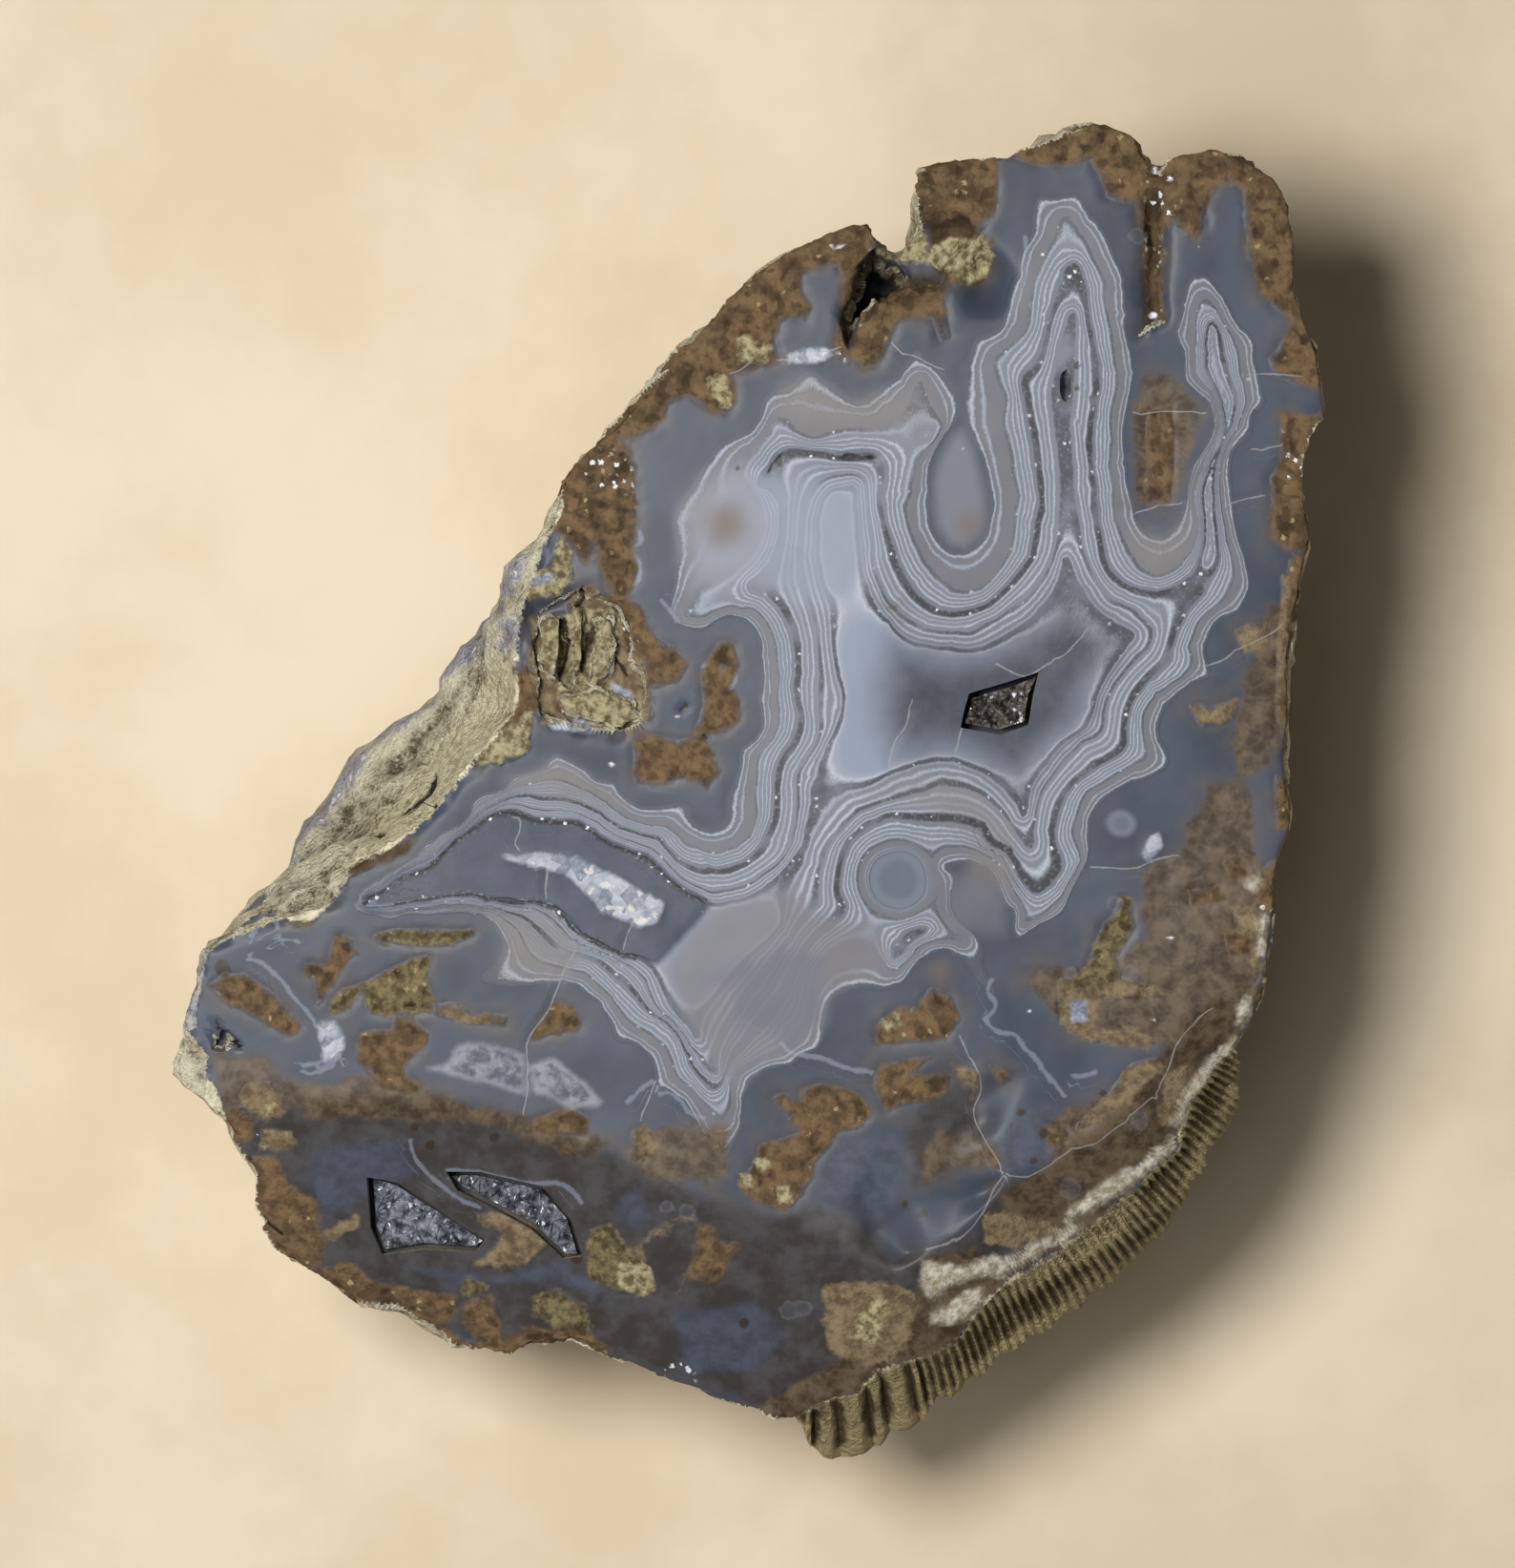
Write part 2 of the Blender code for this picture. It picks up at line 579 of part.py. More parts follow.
def main():
    for obj in list(bpy.data.objects):
        bpy.data.objects.remove(obj, do_unlink=True)

    chalcedony = make_material("chalcedony", (0.15, 0.18, 0.25), 0.3)
    vug_quartz = make_material("vug_quartz", (0.10, 0.07, 0.05), 0.15)
    druse_quartz = make_material("druse_quartz", (0.30, 0.33, 0.40), 0.15)

    nodule = build_nodule(chalcedony)
    cuts = [
        ("cleft_cut", CLEFT, CLEFT_DEPTH, CLEFT_TAPER),
        ("vug_cut", VUG, VUG_DEPTH, 1.0),
        ("lower_druse_cut", LOWER_DRUSE, DRUSE_DEPTH, 1.0),
        ("upper_druse_cut", UPPER_DRUSE, DRUSE_DEPTH, 1.0),
    ]
    for name, outline, depth, taper in cuts:
        bottom = lowest_face(outline) - depth
        cut(nodule, cutter(name, outline, CUTTER_TOP, bottom, taper, chalcedony))
    for number, (place, below, radii) in enumerate(PITS):
        cut(nodule, pit_cutter(f"pit_cut_{number}", place, below, radii, chalcedony))

    vug_points = (VUG_DEPTH, VUG_POINT_SPACING, VUG_POINT_HEIGHT)
    druse_points = (DRUSE_DEPTH, DRUSE_POINT_SPACING, DRUSE_POINT_HEIGHT)
    crystal_crust("vug_crystals", VUG, *vug_points, 11, vug_quartz)
    crystal_crust("lower_druse_crystals", LOWER_DRUSE, *druse_points, 12, druse_quartz)
    crystal_crust("upper_druse_crystals", UPPER_DRUSE, *druse_points, 13, druse_quartz)


main()
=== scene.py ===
import math

import bpy
import numpy as np
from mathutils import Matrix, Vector, noise


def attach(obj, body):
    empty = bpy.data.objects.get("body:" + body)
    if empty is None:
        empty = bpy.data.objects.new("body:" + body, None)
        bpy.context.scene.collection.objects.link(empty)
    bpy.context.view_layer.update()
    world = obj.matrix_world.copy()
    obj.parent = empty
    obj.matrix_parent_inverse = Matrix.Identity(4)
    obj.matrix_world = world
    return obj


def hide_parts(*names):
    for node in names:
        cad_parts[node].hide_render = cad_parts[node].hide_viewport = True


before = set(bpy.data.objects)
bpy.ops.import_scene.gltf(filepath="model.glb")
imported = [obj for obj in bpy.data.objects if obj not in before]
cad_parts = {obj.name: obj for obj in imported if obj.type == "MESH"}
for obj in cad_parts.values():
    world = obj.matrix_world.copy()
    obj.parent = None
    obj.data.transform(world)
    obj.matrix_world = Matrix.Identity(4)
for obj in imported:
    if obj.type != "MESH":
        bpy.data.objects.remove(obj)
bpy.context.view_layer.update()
bpy.ops.object.select_all(action="DESELECT")

mm = 0.001

# Camera straight above the face, far enough away to keep the sides nearly hidden.
camera = {
    "photoMiddle": (0.93, 1.07),
    "photoHeight": 109.6,
    "faceHeight": 36.0,
    "distance": 550.0,
    "sensor": 36.0,
}

light = {
    "keyFrom": (-108.0, 42.0, 420.0),
    "keySize": 120.0,
    "keyPower": 1.5,
    "fillFrom": (-130.0, -90.0, 400.0),
    "fillSize": 260.0,
    "fillPower": 0.32,
    "aim": (0.0, 0.0, 20.0),
    "skyColour": (0.86, 0.92, 1.0),
    "skyPower": 0.06,
    "floorColour": (228, 209, 177),
    "floorLight": (240, 223, 194),
    "floorSize": 3000.0,
}

# The colours of the band lines, as seen in plain light, and of other marks: the pit colour is painted shade
# in hollows, and the sparkle and cream glint colours are painted glints.
shades = {
    "plain": (60, 67, 81),
    "plainLight": (73, 80, 95),
    "hairline": (76, 81, 93),
    "white": (178, 183, 194),
    "pale": (152, 158, 171),
    "grey": (122, 127, 139),
    "mid": (112, 117, 129),
    "beige": (111, 111, 117),
    "granular": (58, 58, 62),
    "smooth": (140, 149, 166),
    "granularLight": (104, 107, 116),
    "sparkle": (232, 234, 238),
    "swirl": (134, 122, 106),
    "yellowGrain": (164, 146, 104),
    "pitShade": (30, 22, 13),
    "stain": (96, 86, 76),
    "creamGlint": (236, 228, 210),
}

# Fine lines by level: level 0 is where a fold starts, and each level is a millimetre on the left fold.
outerLines = [
    (-0.60, "plain"), (-0.12, "plain"), (-0.02, "hairline"), (0.06, "hairline"), (0.15, "white"),
    (0.24, "beige"), (0.36, "beige"), (0.45, "pale"), (0.54, "beige"), (1.02, "beige"),
    (1.16, "grey"), (1.26, "pale"), (1.38, "grey"), (1.48, "grey"), (1.56, "white"),
    (1.66, "grey"), (1.76, "grey"), (1.85, "white"), (1.94, "grey"), (2.02, "grey"),
    (2.12, "white"), (2.22, "mid"), (2.40, "mid"),
]
innerLines = [
    (2.40, "mid"), (2.86, "mid"), (2.98, "white"), (3.10, "grey"), (3.22, "grey"),
    (3.34, "pale"), (3.44, "grey"), (3.54, "grey"), (3.66, "white"), (3.78, "grey"),
    (3.98, "grey"), (4.22, "grey"), (4.34, "white"), (4.46, "grey"), (4.58, "grey"),
    (4.70, "white"), (4.82, "grey"), (4.92, "grey"), (5.02, "pale"), (5.12, "mid"),
    (5.32, "mid"), (5.46, "white"), (5.60, "pale"), (6.00, "smooth"), (6.40, "smooth"),
]
granularLines = [(1.1, 0.10, 0.55), (2.65, 0.24, 1.0), (4.12, 0.13, 0.75), (5.22, 0.13, 0.8)]

bandLines = [
    # Level 0 round the left glow, over the notch and down to the eye.
    (0.0, [
        (-4.8, 14.5), (-4.7, 15.9), (-4.5, 17.3), (-4.7, 18.4), (-4.8, 19.5), (-4.4, 20.5),
        (-3.3, 22.3), (-2.7, 23.3), (-1.9, 24.4), (-1.2, 24.9), (0.4, 25.6), (1.3, 26.8),
        (1.6, 28.1), (2.9, 28.5), (3.5, 28.8), (4.6, 29.8), (6.0, 29.0), (7.3, 27.9),
        (8.0, 27.6), (8.8, 27.7), (10.0, 28.8), (11.2, 29.9), (12.0, 31.2), (12.5, 30.4),
        (13.3, 30.0), (14.2, 28.9), (15.0, 27.6),
    ]),
    # Level 0 round the eye.
    (0.0, [
        (15.0, 27.0), (14.3, 25.9), (13.3, 24.3), (12.8, 22.3), (12.8, 20.1), (13.3, 18.3),
        (14.2, 17.3), (15.0, 17.1), (16.2, 17.6), (17.0, 19.0), (17.2, 21.0), (16.9, 23.0),
        (16.2, 24.9), (15.6, 26.0), (15.3, 27.6), (15.6, 29.8),
    ]),
    # Level 0 up and down the tower, round the window and over the right tower.
    (0.0, [
        (15.6, 29.8), (16.2, 32.0), (17.0, 32.3), (18.1, 33.1), (18.7, 35.8), (19.1, 36.4),
        (19.3, 38.1), (20.2, 39.4), (20.4, 41.7), (21.8, 41.75), (23.3, 42.0), (23.7, 41.0),
        (24.75, 39.7), (25.8, 37.5), (26.3, 36.2), (26.6, 32.9), (27.0, 30.6), (27.0, 28.5),
        (26.5, 26.4), (26.4, 24.6), (26.6, 22.5), (27.1, 20.5), (27.6, 18.9), (28.7, 18.2),
        (29.8, 18.6), (30.6, 20.0), (31.0, 22.1), (31.4, 23.5), (32.5, 25.2), (32.6, 26.9),
        (32.0, 27.9), (30.8, 29.0), (30.7, 30.6), (30.2, 32.3), (30.6, 34.4), (31.0, 36.0),
        (31.8, 36.4), (32.5, 36.0), (33.3, 34.8), (34.3, 33.1), (35.5, 31.9), (35.4, 30.6),
        (36.0, 27.9), (35.2, 26.9), (35.0, 25.4), (34.0, 24.4), (33.8, 22.3), (34.0, 20.6),
        (34.4, 18.4), (34.9, 16.6), (35.2, 14.9), (34.5, 13.2),
    ]),
    # Level 0 down the right side to the tip under the lobe.
    (0.0, [
        (34.5, 13.2), (32.9, 12.4), (32.1, 10.8), (32.1, 10.0), (32.4, 8.7), (31.7, 8.4),
        (30.8, 8.0), (30.1, 7.3), (29.5, 6.7), (28.8, 5.1), (28.9, 4.1), (29.6, 2.7),
        (28.8, 1.9), (27.1, 1.1), (25.3, 0.3), (24.2, -1.1), (24.0, -2.5), (24.1, -3.6),
        (23.7, -4.7), (23.3, -5.5), (22.4, -7.3), (21.9, -8.1), (20.0, -9.1), (19.3, -9.7),
        (19.0, -9.5), (18.9, -8.1), (18.3, -7.2), (17.9, -6.3), (17.5, -5.3), (16.5, -4.6),
        (15.5, -4.2), (14.5, -4.4), (13.7, -4.8),
    ]),
    # Level 0 over the small domes below.
    (0.0, [
        (5.5, -15.2), (5.7, -14.5), (6.1, -13.9), (6.9, -13.3), (8.0, -13.1), (9.9, -13.3),
        (10.7, -13.0), (11.2, -12.7), (12.0, -11.3), (12.8, -10.7), (13.7, -10.4), (14.7, -10.5),
        (15.3, -10.9), (15.9, -11.6), (16.1, -12.5), (17.1, -13.1), (17.7, -14.0),
    ]),
    # Level 0 down the left fold and along the top of the lens.
    (0.0, [
        (-4.8, 12.2), (-3.0, 11.9), (-1.3, 12.8), (-0.3, 12.7), (0.4, 12.3), (0.9, 11.6),
        (1.25, 10.0), (1.35, 8.4), (1.2, 7.6), (1.05, 6.8), (1.35, 5.3), (1.05, 4.5),
        (0.7, 4.0), (-0.3, 3.3), (-0.2, 2.7), (-0.5, 1.1), (-1.1, 0.1), (-0.9, -0.8),
        (-1.2, -1.7), (-2.2, -2.2), (-3.3, -2.0), (-4.0, -1.3), (-3.9, -0.6), (-4.3, -0.3),
        (-5.7, -0.6), (-6.9, -0.7), (-8.0, -0.2), (-8.7, 0.4), (-9.2, 1.2), (-10.2, 1.2),
        (-11.0, 1.9), (-12.0, 2.5), (-13.1, 2.95), (-13.8, 2.2), (-15.0, 1.7), (-16.0, 1.4),
        (-16.8, 0.6), (-18.0, 0.4), (-19.0, -0.4), (-19.2, -1.3), (-20.0, -2.0), (-21.2, -2.4),
        (-21.9, -3.6), (-24.0, -4.6), (-26.0, -6.0), (-27.4, -7.4), (-26.6, -7.9), (-25.6, -8.1),
        (-24.8, -8.4), (-23.5, -8.0), (-22.0, -8.1), (-20.0, -7.9), (-18.5, -8.0), (-17.8, -8.6),
        (-17.2, -9.3), (-16.7, -10.5), (-17.0, -11.4), (-17.6, -12.0), (-18.6, -12.6), (-17.0, -13.0),
        (-14.6, -12.9), (-12.6, -12.7),
    ]),
    # Level 0 down the lower fold, round the funnel and out to the wisps.
    (0.0, [
        (-12.6, -12.7), (-11.8, -12.9), (-11.0, -13.6), (-10.3, -14.1), (-9.7, -15.0), (-9.1, -15.9),
        (-8.9, -17.0), (-7.9, -16.9), (-7.0, -17.4), (-6.3, -18.1), (-6.1, -19.2), (-6.2, -20.4),
        (-5.5, -20.3), (-4.9, -20.7), (-4.2, -21.2), (-3.5, -22.3), (-2.9, -23.5), (-2.1, -24.6),
        (-1.5, -25.3), (-0.7, -24.0), (-0.2, -22.8), (-0.1, -21.4), (0.1, -20.0), (0.9, -19.1),
        (2.0, -18.7), (3.2, -18.5), (4.0, -17.9), (5.2, -17.4), (5.5, -16.4), (5.5, -15.2),
    ]),
    # Level 1.1, from the glow round the eye to the right tower.
    (1.1, [
        (-3.2, 14.7), (-2.0, 15.3), (-0.8, 15.9), (0.3, 16.7), (1.1, 17.8), (1.4, 19.0),
        (1.3, 20.3), (0.8, 21.5), (0.0, 22.5), (0.2, 23.4), (1.2, 24.7), (1.7, 25.3),
        (2.4, 26.6), (3.9, 25.4), (5.2, 25.2), (7.3, 25.8), (8.5, 25.7), (10.0, 25.8),
        (10.8, 26.2), (11.5, 27.2), (12.2, 29.1), (12.6, 27.9), (13.1, 26.9), (13.9, 26.0),
        (13.3, 24.9), (12.3, 24.0), (11.7, 22.5), (11.3, 20.1), (12.0, 17.7), (12.8, 16.1),
        (13.9, 15.1), (15.2, 14.4), (16.8, 14.9), (18.0, 16.3), (18.8, 18.0), (19.1, 20.9),
        (18.7, 23.3), (18.5, 24.7), (18.1, 26.3), (18.3, 27.9), (17.5, 30.4), (18.9, 31.8),
        (19.8, 33.0), (20.0, 34.5), (20.4, 36.5), (21.5, 38.8), (22.3, 40.4), (23.5, 39.2),
        (24.2, 37.7), (25.0, 36.0), (25.1, 34.4), (25.5, 32.5), (25.9, 28.7), (25.5, 26.7),
        (25.5, 23.5), (25.7, 20.5), (26.3, 18.3), (27.3, 16.3), (28.1, 15.7), (28.9, 15.5),
        (29.9, 15.9), (30.7, 16.5), (31.3, 17.5), (31.6, 19.0), (31.4, 21.2), (32.2, 23.6),
        (33.1, 25.4), (33.1, 26.9), (32.6, 28.4), (31.6, 29.6), (31.5, 31.4), (31.5, 33.6),
        (32.1, 34.8), (33.2, 33.2), (34.2, 31.6), (34.5, 29.4), (34.9, 27.6), (34.2, 26.0),
        (33.6, 24.8), (33.1, 23.0), (33.2, 20.6), (33.6, 18.0), (34.1, 15.8), (33.6, 14.3),
    ]),
    # Level 1.1 down the right side.
    (1.1, [
        (33.6, 14.3), (33.1, 13.6), (31.7, 12.5), (31.1, 10.8), (31.2, 9.9), (31.0, 9.2),
        (29.6, 8.0), (28.1, 6.5), (27.7, 5.1), (28.0, 3.2), (27.9, 2.7), (26.4, 2.0),
        (24.5, 0.9), (23.7, 0.3), (23.0, -1.7), (23.0, -2.7), (23.6, -4.3), (22.9, -5.6),
        (21.8, -7.2), (20.4, -8.3), (19.4, -8.8),
    ]),
    # Level 1.1 down the left fold and above the lens.
    (1.1, [
        (-4.6, 12.9), (-2.8, 12.7), (-1.3, 13.35), (0.0, 13.4), (0.7, 13.2), (1.3, 12.7),
        (2.15, 11.2), (2.3, 9.5), (2.3, 7.3), (2.45, 6.0), (2.1, 4.4), (1.05, 3.0),
        (0.9, 1.3), (0.8, 0.2), (0.9, -1.3), (0.3, -2.7), (-1.3, -3.6), (-2.3, -3.8),
        (-4.1, -3.2), (-5.3, -2.0), (-6.5, -1.9), (-8.0, -1.4), (-9.3, -0.6), (-10.6, 0.4),
        (-12.2, 1.1), (-13.4, 1.4), (-15.4, 0.9), (-17.4, 0.0), (-18.8, -0.9), (-20.1, -2.3),
        (-21.5, -3.2), (-24.1, -5.0), (-26.9, -7.3), (-25.0, -8.1), (-23.0, -7.8), (-20.0, -7.6),
        (-17.8, -7.9), (-15.8, -9.2), (-14.8, -11.0), (-12.4, -11.9),
    ]),
    # Level 1.1 down the lower fold and round the funnel.
    (1.1, [
        (-12.4, -11.9), (-11.2, -12.1), (-10.5, -12.7), (-9.8, -13.4), (-9.3, -14.0), (-8.7, -14.7),
        (-8.0, -15.6), (-7.3, -16.0), (-6.3, -16.6), (-5.4, -17.5), (-5.0, -18.6), (-4.6, -19.4),
        (-3.8, -20.1), (-3.1, -20.9), (-2.4, -21.6), (-1.5, -22.4), (-1.0, -21.4), (-1.0, -19.9),
        (-0.4, -18.9), (0.9, -18.1), (2.4, -17.4), (3.4, -16.6), (4.2, -15.4), (4.6, -13.4),
        (5.2, -11.3), (5.7, -10.7), (6.5, -10.1), (7.6, -9.9), (8.7, -10.1), (9.9, -11.1),
        (10.4, -12.0), (11.4, -11.0), (12.0, -10.4), (13.2, -9.9), (14.6, -9.8), (15.6, -9.9),
    ]),
    # Level 2.65, round the eye and up the tower.
    (2.65, [
        (0.9, 21.9), (1.9, 22.8), (2.5, 23.9), (3.4, 24.3), (5.0, 24.2), (6.9, 23.85),
        (8.1, 23.9), (9.2, 23.8), (9.55, 22.5), (9.4, 20.5), (9.85, 18.4), (10.7, 16.1),
        (11.6, 14.4), (13.2, 13.2), (15.1, 12.9), (17.2, 13.7), (18.9, 15.3), (20.1, 17.0),
        (20.65, 20.1), (20.65, 22.1), (20.4, 24.0), (20.1, 26.0), (19.7, 28.0), (19.5, 29.2),
        (20.4, 30.0), (20.9, 31.2), (21.5, 33.8), (22.0, 35.2), (22.9, 37.2), (23.5, 36.0),
        (23.9, 33.1), (24.5, 29.0), (24.1, 26.0), (24.1, 24.4), (24.4, 21.1), (24.8, 17.7),
        (25.3, 15.9), (26.7, 14.7), (27.7, 14.4), (29.1, 14.4), (30.3, 14.8), (31.3, 15.4),
        (31.9, 14.5),
    ]),
    # Level 2.65 down the right side.
    (2.65, [
        (31.9, 14.5), (30.7, 13.2), (29.9, 11.6), (29.5, 10.0), (29.2, 9.5), (27.6, 8.0),
        (26.7, 6.4), (26.5, 4.8), (26.3, 3.5), (24.7, 2.6), (23.1, 1.3), (22.0, -0.1),
        (21.5, -2.0), (21.5, -3.1), (21.9, -4.7), (21.2, -5.7), (20.3, -6.4), (19.2, -5.0),
        (18.5, -3.7), (17.2, -2.9), (16.7, -1.8),
    ]),
    # Level 2.65 down the left fold.
    (2.65, [
        (0.5, 14.9), (2.0, 14.2), (2.9, 13.2), (3.5, 11.8), (3.7, 10.0), (3.7, 7.3),
        (4.1, 5.8), (3.7, 4.2), (2.7, 2.7), (2.35, 0.8), (2.2, -1.1), (1.4, -3.3),
        (0.7, -4.1), (-1.1, -5.0), (-2.9, -5.0), (-4.5, -4.3), (-5.6, -3.2), (-6.0, -2.8),
        (-7.5, -2.4), (-9.3, -1.6), (-10.3, -0.9), (-12.0, -0.1), (-13.8, 0.0), (-16.0, 0.2),
        (-17.6, -0.4), (-19.0, -1.5), (-20.3, -2.8), (-21.7, -3.9), (-24.4, -5.4), (-26.8, -7.3),
    ]),
    # Level 2.65 down the lower fold.
    (2.65, [
        (-12.1, -10.9), (-11.2, -11.0), (-10.3, -11.3), (-9.3, -12.0), (-8.4, -12.7), (-7.6, -13.6),
        (-7.0, -14.4), (-6.4, -15.0), (-5.4, -15.6), (-4.7, -16.4), (-4.1, -17.5), (-3.6, -18.6),
        (-2.9, -19.4), (-2.1, -20.2),
    ]),
    # Level 2.65 round the orb, and the pair of lines below it.
    (2.65, [
        (10.7, -1.1), (9.9, -1.1), (9.3, -1.5), (8.3, -1.9), (7.1, -3.1), (6.7, -4.4),
        (6.5, -5.5), (6.5, -6.5), (7.0, -7.7),
    ]),
    (2.65, [(10.3, -11.2), (11.0, -10.4), (12.0, -9.6), (12.9, -9.3)]),
    # Level 4.1.
    (4.1, [
        (5.0, 12.6), (5.2, 10.8), (5.3, 9.2), (5.3, 6.5), (5.4, 4.7), (4.9, 3.5),
        (3.7, 1.7), (3.7, 0.8), (3.8, -0.1), (3.6, -2.3), (3.2, -3.4), (2.5, -4.4),
        (1.3, -5.3), (0.0, -6.1), (-1.3, -6.45), (-2.7, -6.45), (-4.4, -5.5), (-5.9, -3.9),
        (-7.6, -3.0), (-9.2, -2.4), (-10.6, -1.5), (-12.4, -0.8), (-14.4, -0.8), (-16.0, -0.3),
        (-17.4, -0.5), (-19.2, -1.9), (-20.6, -3.1), (-21.8, -4.2), (-24.6, -5.6), (-26.8, -7.45),
        (-24.8, -7.8), (-22.4, -7.5), (-18.4, -7.2), (-14.8, -7.6), (-12.9, -8.9), (-12.0, -10.0),
        (-10.5, -10.5), (-9.0, -11.0), (-8.0, -11.6), (-7.1, -12.5), (-6.6, -13.6), (-5.9, -14.9),
        (-5.0, -15.6), (-4.4, -16.3), (-3.8, -17.2), (-3.2, -18.1), (-2.5, -18.9), (-1.7, -19.3),
    ]),
    (4.1, [
        (8.9, 16.4), (9.3, 15.2), (10.1, 13.6), (11.5, 12.4), (13.3, 11.75), (15.6, 11.6),
        (17.9, 12.7), (19.9, 14.1), (21.2, 16.0), (21.8, 17.7), (22.1, 21.0), (22.0, 24.0),
        (21.6, 27.0), (21.7, 29.5), (22.2, 32.0), (22.9, 34.0), (22.9, 31.0), (22.7, 26.0),
        (22.9, 22.0), (23.4, 18.4), (24.3, 15.6), (25.6, 13.8), (27.3, 13.1), (28.5, 11.7),
    ]),
    (4.1, [
        (28.5, 11.7), (28.0, 10.3), (27.2, 9.7), (25.6, 7.7), (25.1, 6.3), (24.9, 4.7),
        (23.5, 3.9), (21.9, 2.3), (20.8, 0.7), (20.3, -0.9), (20.2, -2.0), (20.0, -3.4),
        (19.2, -2.4), (18.4, -1.2), (17.2, 0.0), (15.6, 0.9), (13.6, 1.0), (11.6, 0.4),
        (9.8, -0.2), (8.0, -0.9), (6.9, -1.8), (6.0, -2.8), (5.5, -3.9), (5.1, -6.1),
        (5.2, -7.4),
    ]),
    # Level 5.2.
    (5.2, [
        (6.2, 12.8), (6.3, 10.3), (6.6, 8.7), (7.0, 7.1), (6.8, 5.6), (6.1, 3.9),
        (5.4, 2.3), (4.9, 0.8), (4.7, -0.5), (4.4, -2.3), (3.9, -3.5), (2.7, -4.9),
        (1.5, -6.1), (0.3, -6.9), (-1.2, -7.3), (-2.3, -7.35), (-3.2, -6.8), (-4.8, -5.7),
        (-6.0, -4.5), (-6.7, -3.9), (-8.5, -3.2), (-10.1, -2.5), (-11.5, -1.5), (-13.0, -1.3),
        (-14.6, -1.3), (-16.0, -0.7), (-17.2, -0.8), (-18.2, -1.2), (-19.4, -2.2), (-20.8, -3.4),
        (-21.9, -4.5), (-24.7, -5.8), (-26.7, -7.55), (-24.7, -7.5), (-22.6, -7.2), (-20.5, -6.9),
        (-18.6, -6.9), (-16.7, -7.3), (-14.7, -7.3), (-13.1, -7.9), (-12.4, -8.5), (-11.7, -9.3),
        (-10.8, -9.9), (-8.8, -10.8), (-7.2, -11.3), (-6.2, -12.2), (-5.6, -13.4), (-4.9, -14.6),
        (-4.0, -15.7), (-3.2, -16.9),
    ]),
    (5.2, [
        (7.8, 22.0), (7.9, 20.0), (8.0, 18.2), (8.3, 15.6), (9.3, 13.2), (10.8, 11.5),
        (12.4, 10.75), (14.7, 10.45), (16.3, 10.5), (18.8, 11.6), (20.7, 13.2), (21.9, 14.9),
        (22.4, 17.0), (22.9, 15.8), (23.7, 14.2), (25.1, 12.6), (26.4, 11.9), (27.2, 11.5),
    ]),
    (5.2, [
        (27.2, 11.5), (26.7, 10.7), (25.6, 9.2), (24.7, 7.6), (24.3, 6.0), (23.7, 4.9),
        (22.3, 3.9), (20.9, 2.4), (20.0, 0.8), (19.7, -0.8), (19.5, -1.2), (18.8, 0.3),
        (17.1, 1.7), (15.1, 2.6), (13.1, 2.7), (10.9, 2.2), (8.9, 1.2), (7.1, 0.7),
        (5.9, 0.2),
    ]),
    # The middle of the right tower.
    (3.4, [
        (32.6, 32.9), (32.5, 31.0), (33.0, 28.7), (33.4, 27.2), (33.6, 26.0), (33.0, 24.6),
        (32.5, 22.6), (32.3, 20.0), (32.4, 17.6), (32.2, 16.4),
    ]),
    # Plain stone outside the folds.
    (-3.0, [(36.6, 20.0), (36.4, 10.0), (35.0, 2.0), (31.0, -8.0), (27.0, -13.0)]),
    (-2.5, [(-9.0, 20.0), (-6.0, 26.0), (0.0, 31.5), (6.0, 33.6), (12.0, 34.6), (14.6, 35.6)]),
    (-2.0, [(16.2, 38.0), (18.0, 43.2), (23.4, 44.6), (26.9, 41.0), (28.4, 36.0), (28.8, 30.0)]),
    (-2.4, [(29.0, 29.0), (29.2, 25.0), (28.9, 21.4)]),
    (-2.2, [(31.6, 39.6), (35.8, 36.0), (37.2, 31.0)]),
    (-4.0, [(-9.0, 14.0), (-8.0, 6.0), (-4.4, 4.0), (-3.0, 8.0)]),
    (-2.2, [(14.8, 23.6), (15.4, 21.0), (15.5, 19.4)]),
    (-3.0, [(26.6, -2.6), (28.4, -1.6)]),
    (-1.6, [(15.6, -7.2), (16.8, -8.8)]),
    (-3.0, [(-22.0, -16.0), (-14.0, -18.0), (-9.4, -20.6), (-6.4, -24.0), (-3.0, -27.2)]),
    (-3.0, [(2.2, -23.0), (8.4, -19.6), (12.6, -15.8), (19.0, -14.6), (24.0, -11.0)]),
    (-2.4, [(-29.6, -6.6), (-29.0, -10.6), (-24.0, -10.8), (-20.6, -10.2), (-20.4, -13.0)]),
    (-3.0, [(-33.0, 0.0), (-22.0, 3.0), (-14.0, 6.0)]),
    # Smooth stone inside them.
    (8.0, [(9.0, 11.0), (8.6, 7.0), (8.4, 3.6), (11.0, 4.6), (12.4, 8.6)]),
    (9.0, [(14.0, 6.4), (17.6, 6.6), (21.0, 6.4)]),
    (6.2, [(6.3, 21.0), (6.2, 18.0), (6.6, 15.0)]),
    (7.0, [(-23.0, -6.2), (-17.0, -4.0), (-12.0, -5.0), (-7.0, -8.4)]),
    (6.6, [(1.6, -8.4), (-2.6, -10.4), (-3.2, -13.0)]),
]

# The core and the ring of the round orb are circles.
orb = {"middle": (10.7, -5.6), "rings": [(-1.6, 0.7), (0.0, 1.9), (1.1, 2.8)]}

field = {
    "corner": (-43.0, -49.0),
    "span": (86.0, 98.0),
    "spacings": (2.0, 1.0, 0.5, 0.25),
    "rounds": (500, 320, 260, 200),
    "bending": 0.55,
    "tension": 0.45,
    "hold": 12.0,
    "sampling": 0.2,
}

